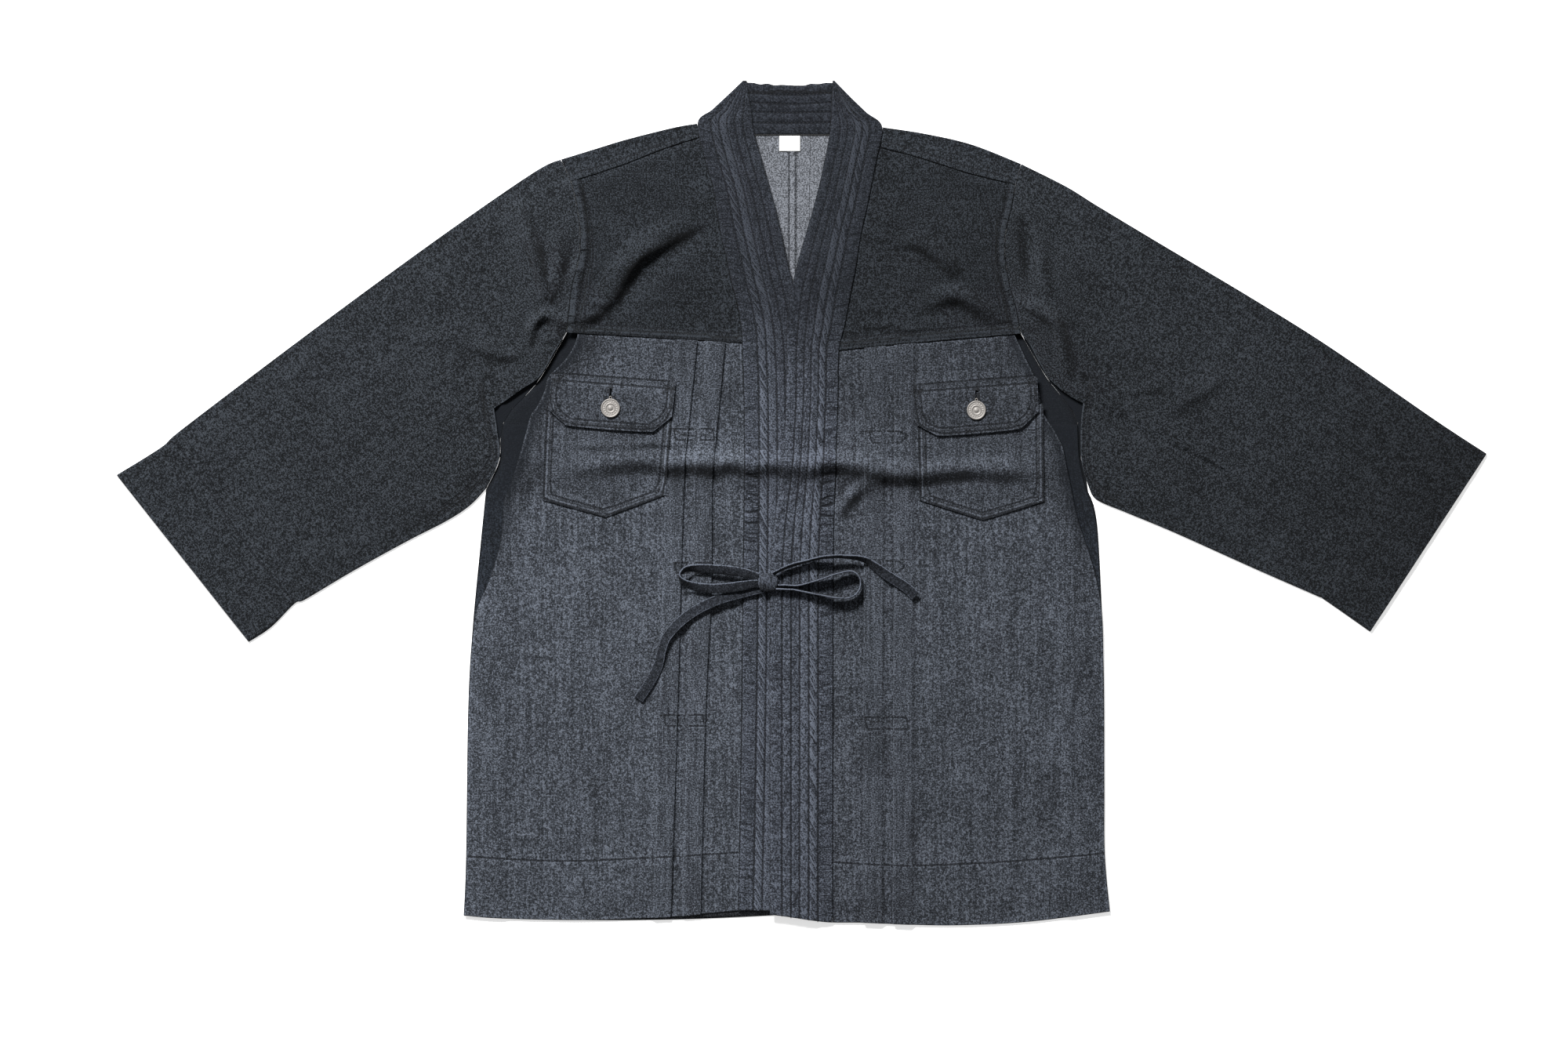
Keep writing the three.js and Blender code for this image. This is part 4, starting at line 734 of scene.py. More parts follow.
# ---------- back ----------
def back_piece(side):
    name = "back_" + side.name
    inset = SEAM / 2 * side.inward
    centre = CENTRE_BACK - inset
    across = np.linspace(0, 1, 44)
    fold = side.shoulder_fold.at(np.linspace(0, 1, 26)) - (0, SHOULDER_TUCK)
    start, seam_end = side.shoulder_fold.at(0.0), side.armhole.at(0.0)
    fold[0] = start + (seam_end - start) * SHOULDER_TUCK / np.linalg.norm(seam_end - start)
    neck = np.stack([np.linspace(fold[-1, 0], centre, 19)[1:], np.full(18, NECK["seam"] - SEAM)], axis=-1)
    top = Line(np.concatenate([fold, neck]), straight=True)
    armhole = side.armhole.at(np.linspace(0, 1, 24)) + (inset, 0)
    lower = side.sleeve_back_edge.at(np.linspace(0, 1, 24)[1:-1]) + (inset, 0)
    flank = side.side.at(np.linspace(0, 1, 60))
    outer = np.concatenate([top.places[:1] + (inset, 0), armhole, lower, flank])
    first = np.concatenate([outer[:1], top.at(across)[1:]])
    hem = side.back_hem.at(across)
    hem[0], hem[-1, 0] = outer[-1], centre
    down = np.linspace(0, 1, len(outer))[:, None]
    plan = fill(first, hem, outer, first[-1] * (1 - down) + hem[-1] * down)
    x, y = plan[..., 0], plan[..., 1]
    rim = np.zeros(x.shape)
    rim[1:-1, 1:-1] = INSIDE
    fields = cloth_fields(name, x, y, rim)
    in_hem = 1 - smooth(*BACK_HEM_Y, y)
    in_neck = smooth(*NECK_SHOWN_Y, y) * (1 - smooth(*NECK_SHOWN_X, np.abs(x + 8)))
    fields["lining"] = np.maximum(in_neck, 0.25 * in_hem)
    # painted deep shade over the inside of the back, away from the neck and the hem
    fields["deep"] = 0.88 * (1 - np.maximum(in_neck, in_hem))
    half = WALL / 2 * rounded(rim, least=0.3)
    piece = slab(name, raised(plan, WALL / 2 + half), raised(plan, WALL / 2 - half), fields, under=PLAIN_UNDERSIDE)
    overlap = [felled_strip()] if side.inward > 0 else []
    return join(name, [piece, shoulder_turn(side)] + overlap)


def felled_strip():
    """The overlap of the centre-back seam, stitched down on the inside."""
    left, right = -12.3, -4.2
    across = np.array([left, -12.0, -11.2, -9.8, -8.4, -7, -5.6, -4.6, right])
    y, x = np.meshgrid(np.linspace(NECK["seam"] - 1, -366, 300), across, indexing="ij")
    rim = np.minimum(x - left, right - x)
    lining = smooth(*NECK_SHOWN_Y, y)
    row = np.min([np.abs(x - ROWS["back_" + name][1][0][0]) for name in SIDES], axis=0)
    # the denim's reverse at the neck, painted deep shade below it
    fields = {"pucker": np.stack([y, x, 0.6 + 0 * x], axis=-1), "row": row, "worn": rim_wear_and_light(rim), "lining": lining,
              "deep": 1 - lining}
    middle = WALL + 0.42 + 0.12 * noise(y, x, 4, 23)
    half = 0.36 * rounded(rim)
    places = np.stack([x, y], axis=-1)
    return slab("felled", raised(places, middle + half), raised(places, middle - half), fields, under=PLAIN_UNDERSIDE)


def shoulder_turn(side):
    """The strip that comes over the shoulder fold to the front seam."""
    inset = SEAM / 2 * side.inward
    cols = shares(side.shoulder_fold.length, 1.8)
    fold, seam = side.shoulder_fold.at(cols), side.shoulder_seam.at(cols)
    fold[0, 0] += inset
    seam[0, 0] += inset
    down = seam - fold
    reach = np.linalg.norm(down, axis=1)
    down /= reach[:, None]
    radius = (LAYER + WALL) / 2
    level = np.ones(len(cols))
    outer, inner = [], []
    lengths = np.concatenate([[0], RIM, np.linspace(2.2, 17, 11)])
    for length in lengths:
        d = reach - SEAM / 2 - length
        place = fold + down * np.maximum(d, 1.2)[:, None]
        stand = np.where(d > 1.2, rise(place[:, 0], place[:, 1]), 0) * smooth(0, 8, d)
        half = WALL / 2 * rounded(length) * level
        mid = LAYER + WALL / 2 + stand + 0.75 * (1 - smooth(5, 8, length))
        outer.append(raised(place, mid + half))
        inner.append(raised(place, mid - half))
    for angle in np.radians(np.linspace(80, -90, 8)):
        for rows, r in ((outer, radius), (inner, radius - WALL)):
            place = fold + down * (radius - r * math.cos(angle))
            rows.append(raised(place, (radius + r * math.sin(angle)) * level))
    tail = fold + down * SHOULDER_TAIL["reach"]
    outer.append(raised(tail, SHOULDER_TAIL["gap"] * level))
    inner.append(raised(tail, (WALL - SHOULDER_TAIL["gap"]) * level))
    outer, inner = np.array(outer), np.array(inner)
    fields = pucker_field([row_line(ROWS["back_" + side.name][0])], outer[..., 0], outer[..., 1], 9)
    fields["pucker"][len(lengths):, :, 2] = 0
    fields["row"][len(lengths):] = NO_ROW
    rim = np.full(outer.shape[:2], 9.0)
    rim[:len(lengths)] = lengths[:, None]
    fields.update(worn=rim_wear_and_light(rim), lining=0 * rim, deep=0 * rim)
    outer[..., 2] += ripple(fields)
    return slab("shoulder_" + side.name, outer, inner, fields)


def join(name, pieces):
    """Several meshes as one object."""
    corners, faces, fields, count = [], [], {}, 0
    for piece in pieces:
        mesh = piece.data
        co = np.zeros(len(mesh.vertices) * 3)
        mesh.vertices.foreach_get("co", co)
        loops = np.zeros(len(mesh.loops), np.int32)
        mesh.loops.foreach_get("vertex_index", loops)
        corners.append(co.reshape(-1, 3) / MM)
        faces.append(loops.reshape(-1, 4) + count)
        for attribute in mesh.attributes:
            vector = attribute.data_type == "FLOAT_VECTOR"
            own = attribute.domain == "POINT" and attribute.name != "position"
            if own and (vector or attribute.data_type == "FLOAT"):
                values = np.zeros(len(mesh.vertices) * (3 if vector else 1))
                attribute.data.foreach_get("vector" if vector else "value", values)
                fields.setdefault(attribute.name, []).append(values.reshape(-1, 3) if vector else values)
        count += len(mesh.vertices)
        bpy.data.objects.remove(piece)
        bpy.data.meshes.remove(mesh)
    return new_piece(name, np.concatenate(corners), np.concatenate(faces),
                     {key: np.concatenate(parts) for key, parts in fields.items()})


# ---------- yokes ----------
def yoke_piece(side):
    name = "yoke_" + side.name
    inset = np.array([SEAM / 2 * side.inward, 0])
    rows, cols = shares(side.armhole.length, 1.5), shares(side.shoulder_seam.length, 1.5)
    outer = side.armhole.at(rows) + inset
    levels = side.yoke_top + (side.chest_foot - side.yoke_top) * rows
    inner = np.stack([side.collar_seam.x_at(levels), levels], axis=-1) - inset
    first = side.shoulder_seam.at(cols)
    first[0], first[-1] = outer[0], inner[0]
    first = first - (0, SEAM / 2)
    x = outer[-1, 0] + (inner[-1, 0] - outer[-1, 0]) * cols
    final = np.stack([x, side.chest_seam.y_at(x) + SEAM / 2], axis=-1)
    outer[0], inner[0], outer[-1], inner[-1] = first[0], first[-1], final[0], final[-1]
    plan = fill(first, final, outer, inner)
    rim = rim_distance((rows, side.armhole.length), (cols, side.shoulder_seam.length))
    x, y = plan[..., 0], plan[..., 1]
    armhole = side.armhole.near(x, y)[0]
    chest = (1 - rows)[:, None] * side.armhole.length
    shoulder = rows[:, None] * side.armhole.length
    felled = np.maximum(0.8 * (1 - smooth(6.2, 8, armhole)), 0.85 * (1 - smooth(6.4, 8.4, chest)))
    felled = felled - 0.3 * (1 - smooth(0.5, 2, shoulder)) - 0.35 * np.exp(-((chest - 8.6) / 2.2) ** 2)
    foot = LAYER + rise(x, y) + felled + 0.25 * noise(x, y, 6, 3)
    fields = cloth_fields(name, x, y, rim, 7)
    # the felled strips are lighter, partly rubbed wear and partly painted highlight; a painted shade line runs
    # outside the armhole strip
    chest_strip = smooth(1.2, 2.2, chest) * (1 - smooth(4.6, 5.8, chest)) + 0 * x
    sleeve_strip = smooth(0.6, 1.4, armhole) * (1 - smooth(5, 6.4, armhole))
    armhole_shade_line = np.exp(-((armhole - 7.4) / 1.1) ** 2)
    fields["worn"] = fields["worn"] + 0.85 * chest_strip + 0.75 * sleeve_strip - 1.3 * armhole_shade_line
    fields["dim"] = SHADE[name] + 0 * x
    gathered = np.maximum(1.5 * chest_strip, 2.0 * sleeve_strip)
    fields["pucker"][..., 2] = np.maximum(fields["pucker"][..., 2] * 0.7, gathered)
    return cloth(name, plan, foot, rim, fields=fields)


# ---------- fronts ----------
def side_inner(side, y):
    return side.side_panel_edge.x_at(np.minimum(y, SIDE_PANEL_TOP)) * side.inward + SIDE_PANEL_SHOWN


def over_side_panel(side, across, y):
    past = (side_inner(side, y) + SIDE_CLEARANCE + SIDE_RAMP - across) / SIDE_RAMP
    falls = 1 - smooth(SIDE_PANEL_TOP + SIDE_CLEARANCE, SIDE_PANEL_TOP + SIDE_TOP_SLOPE, y)
    return LAYER * smooth(0, 1, past) * falls


def pleat_steps():
    """Places across one pleat, measured from its fold edge, with the level of each."""
    turn = LAYER / 2
    climb = [(PLEAT_START + PLEAT_RAMP * s, 2 * float(smooth(0, 1, s))) for s in np.linspace(0, 1, 6)]
    crown = [(x, 2.0) for x in np.linspace(-PLEAT_DEPTH - PLEAT_ROOM, -turn, 9)[1:-1]]
    nose = [(turn * (math.cos(a) - 1), 1.5 + 0.5 * math.sin(a)) for a in np.radians(np.arange(90, -91, -30))]
    under = [(-PLEAT_DEPTH / 2, 1.0)]
    hidden = [(turn * (1 - math.cos(a)) - PLEAT_DEPTH, 0.5 + 0.5 * math.sin(a))
              for a in np.radians(np.arange(90, -91, -60))]
    out = [(-PLEAT_DEPTH / 2, 0.0), (PLEAT_LEAD, 0.0)]
    return np.array(climb + crown + nose + under + hidden + out)


def hem_cloth(side, x, y):
    """1 on the doubled cloth of the deep hem, 0 above its row of stitches."""
    row = Line(ROWS["front_" + side.name][0])
    return 1 - smooth(row.y_at(x) - 1.5, row.y_at(x) + 1.0, y)


def front_piece(side):
    name = "front_" + side.name
    top, foot = side.chest_foot, float(side.hem.y_at(side.foot_x))
    rows = shares(top - foot, 2.5)
    level = (top + (foot - top) * rows)[:, None]

    def height_of_row(x):
        near_chest = 1 - smooth(0, 30, top - level)
        near_hem = 1 - smooth(0, 30, level - foot)
        return level + near_chest * (side.chest_seam.y_at(x) - SEAM / 2 - top) + near_hem * (side.hem.y_at(x) - foot)

    outer = side.front_edge.x_at(height_of_row(side.front_edge.x_at(level))) * side.inward
    inner = side.collar_seam.x_at(level) * side.inward - SEAM / 2
    folds = [fold.x_at(level) * side.inward for fold in side.pleat_folds]
    steps = pleat_steps()
    lead = shares(160, 2.3, (True, False))
    strips = [(outer + (folds[0] + PLEAT_START - outer) * lead[None, :-1], np.zeros(len(lead) - 1), None)]
    for fold, following in zip(folds, (folds[1] + PLEAT_START, inner)):
        strips.append((fold + steps[None, :, 0], steps[:, 1], fold))
        between = shares(30, 2.3, (False, True))[1:] if following is inner else np.array([0.5])
        begin = fold + PLEAT_LEAD
        strips.append((begin + (following - begin) * between[None], np.zeros(len(between)), None))
    across = np.concatenate([places * np.ones_like(level) for places, _, _ in strips], axis=1)
    stack = np.concatenate([levels for _, levels, _ in strips])[None]
    x = across * side.inward
    y = height_of_row(x)
    soft = rise(x, y)
    column = 0
    for places, _, fold in strips:
        here = slice(column, column + places.shape[1])
        column = here.stop
        if fold is not None:
            near, far = fold + PLEAT_START, fold + PLEAT_LEAD
            along = np.clip((across[:, here] - near) / (far - near), 0, 1)
            ends = [rise(end * side.inward * np.ones((1, places.shape[1])), y[:, here]) for end in (near, far)]
            soft[:, here] = ends[0] * (1 - along) + ends[1] * along
    double = hem_cloth(side, x, y)
    z = LAYER + WALL / 2 + over_side_panel(side, across, y) + soft + stack * LAYER + 0.35 * double * (stack > 1.4)
    forward = np.diff(np.stack([across, z], axis=-1), axis=1)
    forward /= np.linalg.norm(forward, axis=-1, keepdims=True) + 1e-9
    tangent = np.pad(forward, ((0, 0), (0, 1), (0, 0))) + np.pad(forward, ((0, 0), (1, 0), (0, 0)))
    tangent /= np.linalg.norm(tangent, axis=-1, keepdims=True) + 1e-9
    to_end = np.minimum(rows, 1 - rows)[:, None] * (top - foot)
    rim = np.where(stack > 0, to_end, np.minimum(np.minimum(across - outer, inner - across), to_end))
    fields = cloth_fields(name, x, y, rim)
    on_top = (np.abs(stack - 2) < 0.01) | (stack == 0)
    fields["pucker"][..., 2] *= on_top
    fields["row"] = np.where(on_top, fields["row"], NO_ROW)
    fold_wear = np.exp(-((stack - 1.6) / 0.35) ** 2) * (stack > 1.4) * (stack < 1.99)
    # painted shadow beside each pleat's fold, on the flat cloth
    pleat_shadow = sum(np.exp(-((across - fold - 0.9) / 0.9) ** 2) for fold in folds)
    flat_wear_and_light = fields["worn"] - 0.25 * pleat_shadow * (stack == 0)
    fields["worn"] = np.where(stack > 0, 0.5 * fold_wear + painted_slope_light(x, y), flat_wear_and_light)
    vent = (1 - smooth(0.9, 1.6, across - outer)) * smooth(20, 60, y)
    fields["worn"] = fields["worn"] * (1 - vent) + 0.2 * vent
    # painted shade near the vent and under the chest fold, darker towards the chest seam, and painted deep shade at
    # the vent's edge
    by_vent = (1 - smooth(4, 34, across - outer)) * smooth(-110, 30, y)
    fields["dim"] = SHADE[name] + 0.8 * by_vent + 0.8 * np.exp(-((y - 22) / 13) ** 2) + 0.5 * smooth(50, 110, y)
    fields["deep"] = 0.75 * (1 - smooth(1.5, 13, across - outer)) * smooth(-80, 20, y) * (1 - vent)
    wave = ripple(fields) - 0.35 * (1 - smooth(0, 2.0, rows * (top - foot)))[:, None]
    half = WALL / 2 * rounded(rim)

    def skin(sign):
        side_x = (across - sign * tangent[..., 1] * half) * side.inward
        return np.stack([side_x, y, z + wave + sign * tangent[..., 0] * half], axis=-1)

    return slab(name, skin(1), skin(-1), fields)


# ---------- side panels ----------
def side_panel_piece(side):
    name = "side_" + side.name
    rows, cols = shares(side.side_panel_edge.length, 5), shares(SIDE_PANEL_SHOWN, 3)
    outer = side.side_panel_edge.at(rows)
    plan = outer[:, None] + np.stack([cols * SIDE_PANEL_SHOWN * side.inward, 0 * cols], axis=-1)[None]
    rim = rim_distance((rows, side.side_panel_edge.length), (cols, SIDE_PANEL_SHOWN))
    fields = cloth_fields(name, plan[..., 0], plan[..., 1], rim)
    # painted deep shade over the panel, heavier towards its top
    fields["deep"] = 0.25 + 0.65 * smooth(-60, 62, plan[..., 1])
    return cloth(name, plan, np.full(rim.shape, LAYER), rim, fields=fields)


# ---------- sleeves ----------
def sleeve_piece(side):
    name = "sleeve_" + side.name
    inset = np.array([-SEAM / 2 * side.inward, 0])
    shoulder = side.shoulder_fold.at(0.0)
    length = side.sleeve_top.length
    rows = shares(length, 2.7)
    top, under = side.sleeve_top.at(rows), side.sleeve_under.at(rows)
    plans = []
    for edge, count in ((side.sleeve_front_edge, 128), (side.sleeve_back_edge, 22)):
        places = np.concatenate([[shoulder], side.armhole.places, edge.places[1:]]) + inset
        end = Line(places, straight=True).at(np.linspace(0, 1, count))
        if not plans:
            top[0], under[0] = end[0], end[-1]
        end[0], end[-1] = top[0], under[0]
        cuff = top[-1] + (under[-1] - top[-1]) * np.linspace(0, 1, count)[:, None]
        plans.append(fill(end, cuff, top, under))
    front, back = plans
    rim_row = np.minimum(rows, 1 - rows) * length
    radius = (LAYER + WALL) / 2
    half = WALL / 2 * rounded(rim_row)[:, None]

    def nose(edge, towards, degrees):
        angles = np.radians(degrees)
        inwards = towards - edge
        inwards /= np.linalg.norm(inwards, axis=1, keepdims=True)
        skins = []
        for sign in (1, -1):
            r = radius - WALL / 2 + sign * half
            place = edge[:, None] + inwards[:, None] * (radius - r * np.cos(angles)[None])[..., None]
            skins.append(raised(place, radius + r * np.sin(angles)[None]))
        return skins

    def flat(plan, base, sign_top):
        middle = base + WALL / 2
        return [raised(plan, middle + half * sign_top), raised(plan, middle - half * sign_top)]

    x, y = front[:, 1:-1, 0], front[:, 1:-1, 1]
    hem_row = Line(ROWS[name][0])
    past_hem = np.where(x * side.inward < hem_row.x_at(y) * side.inward, 1, -1)
    double = smooth(-1.5, 1.0, hem_row.near(x, y)[0] * past_hem)
    base = LAYER + rise(x, y) + 0.5 * double + 0.2 * noise(x, y, 9, 5)
    fields = cloth_fields(name, x, y, np.repeat(rim_row[:, None], x.shape[1], axis=1), 9)
    up = nose(top, front[:, -1], np.linspace(-90, 90, 7))
    down = nose(under, front[:, 0], np.linspace(90, -90, 7))
    over = flat(front[:, 1:-1], base + ripple(fields), 1)
    hidden = back[:, 1:-1][:, ::-1]
    beneath = flat(hidden, np.zeros(hidden.shape[:2]), -1)
    outer, inner = (np.concatenate([part[k] for part in (up, over, down, beneath)], axis=1) for k in (0, 1))
    vent = (1 - smooth(1.0, 1.9, rim_row))[:, None] * (rows < 0.5)[:, None] * (1 - smooth(149, 153, y))
    pads = (0, 0), (up[0].shape[1], down[0].shape[1] + hidden.shape[1])
    # darker towards the right cuff
    cuff_dim = np.pad(0.7 * smooth(400, 600, x), pads, mode="edge")
    fields = {"pucker": np.pad(fields["pucker"], (*pads, (0, 0))),
              "worn": np.pad(fields["worn"] * (1 - vent) + 2.4 * vent, pads),
              "row": np.pad(fields["row"], pads, constant_values=NO_ROW), "dim": SHADE[name] + cuff_dim}
    # painted deep shade on the sleeve's lower skin
    return slab(name, outer, inner, fields, ring=True, under=(("deep", 1.0),))


# ---------- collar ----------
def lap_lift(x, y):
    edge = SIDES["left"].band_edge
    rise_x = smooth(LAP_X[0], edge.x_at(np.minimum(y, 141)) + LAP_X[1], x)
    return BAND_LAP * rise_x * (1 - smooth(LAP_Y[1], LAP_Y[0], y))


def padding(stops):
    """Places across quilted padding between its rows, and how full it stands at each, 0 to 1."""
    where, crown = [], []
    for a, b in zip(stops[:-1], stops[1:]):
        inside = shares(b - a, 1.5, (a == stops[0], b == stops[-1]))[:-1]
        where.extend(a + (b - a) * inside)
        crown.extend(np.sin(np.pi * np.clip(inside, 0, 1)) ** 0.55)
    return np.array(where + [stops[-1]]), np.array(crown + [0])


def channels():
    """Shares across the band, the height of the padding at each, and the distance to the nearest row."""
    where, crown = padding([0, *BAND_ROWS, BAND_WIDTH])
    return where / BAND_WIDTH, crown, np.min(np.abs(where[:, None] - np.array(BAND_ROWS)), axis=1)


def band_row(side, offset):
    """One row of stitches along the band, a given way in from its front edge."""
    y = np.arange(side.band_top.places[0, 1] - 4, side.foot_y + 1, -3.0)
    edge, seam = side.band_edge.x_at(y), side.seam.x_at(y)
    x = edge + (seam - edge) * offset / BAND_WIDTH
    wide = np.abs(seam - edge) > 12
    return Line(np.stack([x, y], axis=-1)[wide], straight=True)


def crease_field(slide, pitch, seed, slope):
    """The signed distance to the nearest of a run of creases, and how deep that one is."""
    best, deep = np.full(slide.shape, np.inf), np.zeros(slide.shape)
    cell = np.floor(slide / pitch)
    for k in (-1, 0, 1):
        chance = noise(cell + k, 0 * cell, 1.0, seed)
        away = (slide - pitch * (cell + k + 0.5 + 0.38 * chance)) / math.hypot(1, slope)
        closer = np.abs(away) < np.abs(best)
        best = np.where(closer, away, best)
        deep = np.where(closer, 0.6 + 0.4 * noise(cell + k, 0 * cell, 1.0, seed + 1), deep)
    return best, deep


def padded_slab(name, plan, base, thick, rim, fields):
    """A padded band over a plan, flat below and full above, with soft rims."""
    shape = rounded(rim, 1.6, 0.3)
    middle = base + BAND / 2
    upper, lower = middle + (thick - BAND / 2) * shape, middle - BAND / 2 * shape
    return slab(name, raised(plan, upper), raised(plan, lower), fields)


def band_creases(side, along, reach, y):
    """The band's quilting creases: the field for their painted highlight and shade, and the waves that they raise."""
    skewed = along + CREASE_SLOPE * side.inward * (reach - 38) + 3 * noise(along, reach, 17, 15)
    main, main_deep = crease_field(skewed, 9.5, 51 + side.inward, CREASE_SLOPE)
    inner, inner_deep = crease_field(skewed + 4, 6.5, 61 + side.inward, CREASE_SLOPE)
    flat, flat_deep = crease_field(along + 0.25 * reach + 2 * noise(along, reach, 9, 16), 8.5, 71 + side.inward, 0.25)
    in_main = smooth(33.5, 35, reach) * (1 - smooth(40.5, 42, reach))
    in_inner = smooth(23, 27, reach) * (1 - smooth(32.5, 34, reach)) * (0.25 + 0.75 * smooth(120, 190, y))
    away = np.where(reach < 33.8, inner, np.where(reach < 42, main, flat))
    light = (in_main * main_deep + in_inner * inner_deep) * (1 - smooth(1.5, 2.0, np.abs(away)))
    # the flat creases' painted shade is much stronger just below the chest fold
    below_fold = 0.6 + 1.8 * np.exp(-((y - 2) / 30) ** 2)
    dark = np.where(reach > 42, below_fold * flat_deep * (1 - smooth(53, 55, reach)), 0)
    waves = 0.9 * light * np.exp(-(away / 1.5) ** 2) - 0.7 * dark * np.exp(-(away / 1.8) ** 2)
    return np.stack([away, light, dark], axis=-1), waves


def band_piece(side):
    inset = SEAM / 2 * side.inward
    top, foot = side.band_top.places[0, 1], side.foot_y
    rows = shares(top - foot, 1.8)
    across, crown, to_row = channels()
    level = (top + (foot - top) * rows)[:, None]
    edge, seam = side.band_edge.x_at(level), side.seam.x_at(level) + inset
    x = edge + (seam - edge) * across[None]
    y = level + (1 - smooth(0, 20, level - foot)) * (side.hem.y_at(x) - foot)
    past = smooth(NECK["seam"] + NECK_SLOPE[0], NECK["seam"] + NECK_SLOPE[1], y)
    lift = lap_lift(x, y) if side.name == "right" else 0
    base = LAYER * (1 - past) + lift + rise(x, y)
    along, reach = -y, across[None] * BAND_WIDTH + 0 * y
    seam_strip = smooth(41, 43, reach)
    cable = smooth(25, 27, reach) * (1 - seam_strip)
    slide = along + 1.5 * side.inward * (reach - 34) * (1 - seam_strip) * smooth(20, 26, reach)
    crease, waves = band_creases(side, along, reach, y)
    waves = (waves + 0.3 * (1 - cable) * (1 - seam_strip) * noise(along, reach * 0.5, 3.6, 14)
             + 0.3 * noise(along, reach, 11, 13))
    full = BAND_CROWN * crown[None] + waves * (0.2 + 0.8 * crown[None])
    thick = BAND + LAYER * past + full * (1 - 0.5 * past)
    rim = np.minimum(across, 1 - across)[None] * np.abs(seam - edge)
    rim = np.minimum(rim, (np.minimum(rows, 1 - rows) * (top - foot))[:, None])
    upper = smooth(90, 190, y)
    # painted shade under the chest fold; darker towards the neck, where painted deep shade is mixed in
    fields = {
        "pucker": np.stack([slide, reach, 0.5 + 0.2 * seam_strip], axis=-1),
        "worn": rim_wear_and_light(rim, -0.6, 0.25) + painted_slope_light(x, y),
        "row": to_row[None] + 0 * x,
        "crease": crease,
        "dim": 0.1 + 0.7 * np.exp(-((y - 23) / 12) ** 2) + 0.25 * smooth(50, 90, y) + 0.65 * upper,
        "deep": (0.38 if side.inward > 0 else 0.5) * upper,
    }
    return padded_slab("collar_" + side.name, np.stack([x, y], axis=-1), base, thick, rim, fields)


def neck_plan(share, u):
    left = NECK["left"] + (NECK["left_top"] - NECK["left"]) * share
    right = NECK["right"] + (NECK["right_top"] - NECK["right"]) * share
    dip = share * NECK["dip"] * np.sin(np.pi * u)
    return np.stack([left + (right - left) * u, NECK["seam"] + (NECK["top"] - NECK["seam"]) * share - dip], axis=-1)


def neck_band_piece():
    height = NECK["top"] - NECK["seam"]
    where, crown = padding([0, *(y - NECK["seam"] for y in sorted(NECK_ROWS)), height])
    rows, crown = where / height, crown[:, None]
    cols = shares(NECK["right_top"] - NECK["left_top"], 1.6)
    plan = neck_plan(rows[:, None] + 0 * cols[None], cols[None] * 1.03 - 0.014 + 0 * rows[:, None])
    plan[..., 1] += 0.9 * noise(plan[..., 0], 0 * plan[..., 0], 6.5, 41) * rows[:, None] ** 6
    rim = rim_distance((rows, height), (cols, 75))
    x, y = plan[..., 0], plan[..., 1]
    slide = x + (1 - smooth(366, 368, y)) * 1.1 * y
    waves = 0.35 * noise(slide, y * 0.5, 3.6, 21)
    thick = BAND + BAND_CROWN * crown + waves * (0.25 + 0.75 * crown)
    to_row = np.min(np.abs(rows[:, None] * height + NECK["seam"] - np.array(NECK_ROWS)), axis=-1)[:, None]
    # held dark all over, with painted deep shade mixed in
    fields = {"pucker": np.stack([slide, y, 0.9 + 0 * x], axis=-1), "worn": rim_wear_and_light(rim, -0.5, 0.2),
              "row": to_row + 0 * x, "dim": 1 + 0 * x, "deep": 0.56 + 0 * x}
    return padded_slab("collar_neck", plan, 0, thick, rim, fields)


# ---------- pockets and flaps ----------
def panel_top(side, x, y):
    across = x * side.inward
    fold = side.pleat_folds[0].x_at(y) * side.inward
    climb = smooth(0, 1, (across - (fold - PLEAT_DEPTH - PLEAT_ROOM - PLEAT_RAMP)) / PLEAT_RAMP)
    return LAYER + WALL + over_side_panel(side, across, y) + 2 * LAYER * climb + rise(x, y)


def pocket_outline(side):
    p = side.pocket
    return [(p["outer"][0], p["mouth"]), (p["outer"][1], p["corners"][0]), tuple(p["point"]),
            (p["inner"][1], p["corners"][1]), (p["inner"][0], p["mouth"])]


def inset_line(places, distance):
    """A straight-sided line moved to its left by a distance, mitred at its corners."""
    places = np.array(places, float)
    way = np.diff(places, axis=0)
    way /= np.linalg.norm(way, axis=1, keepdims=True)
    left = np.stack([-way[:, 1], way[:, 0]], axis=-1)
    moved = [places[0] + left[0] * distance]
    for k in range(1, len(places) - 1):
        both = left[k - 1] + left[k]
        moved.append(places[k] + both * distance / (1 + left[k - 1] @ left[k]))
    moved.append(places[-1] + left[-1] * distance)
    return np.array(moved)


def rows_inside(outline, side, distances):
    """Rows of stitches that follow an outline at some distances inside it."""
    return [Line(inset_line(outline, side.inward * distance), straight=True) for distance in distances]


def pocket_rows(side):
    return rows_inside(pocket_outline(side), side, (1.5, 6.6))


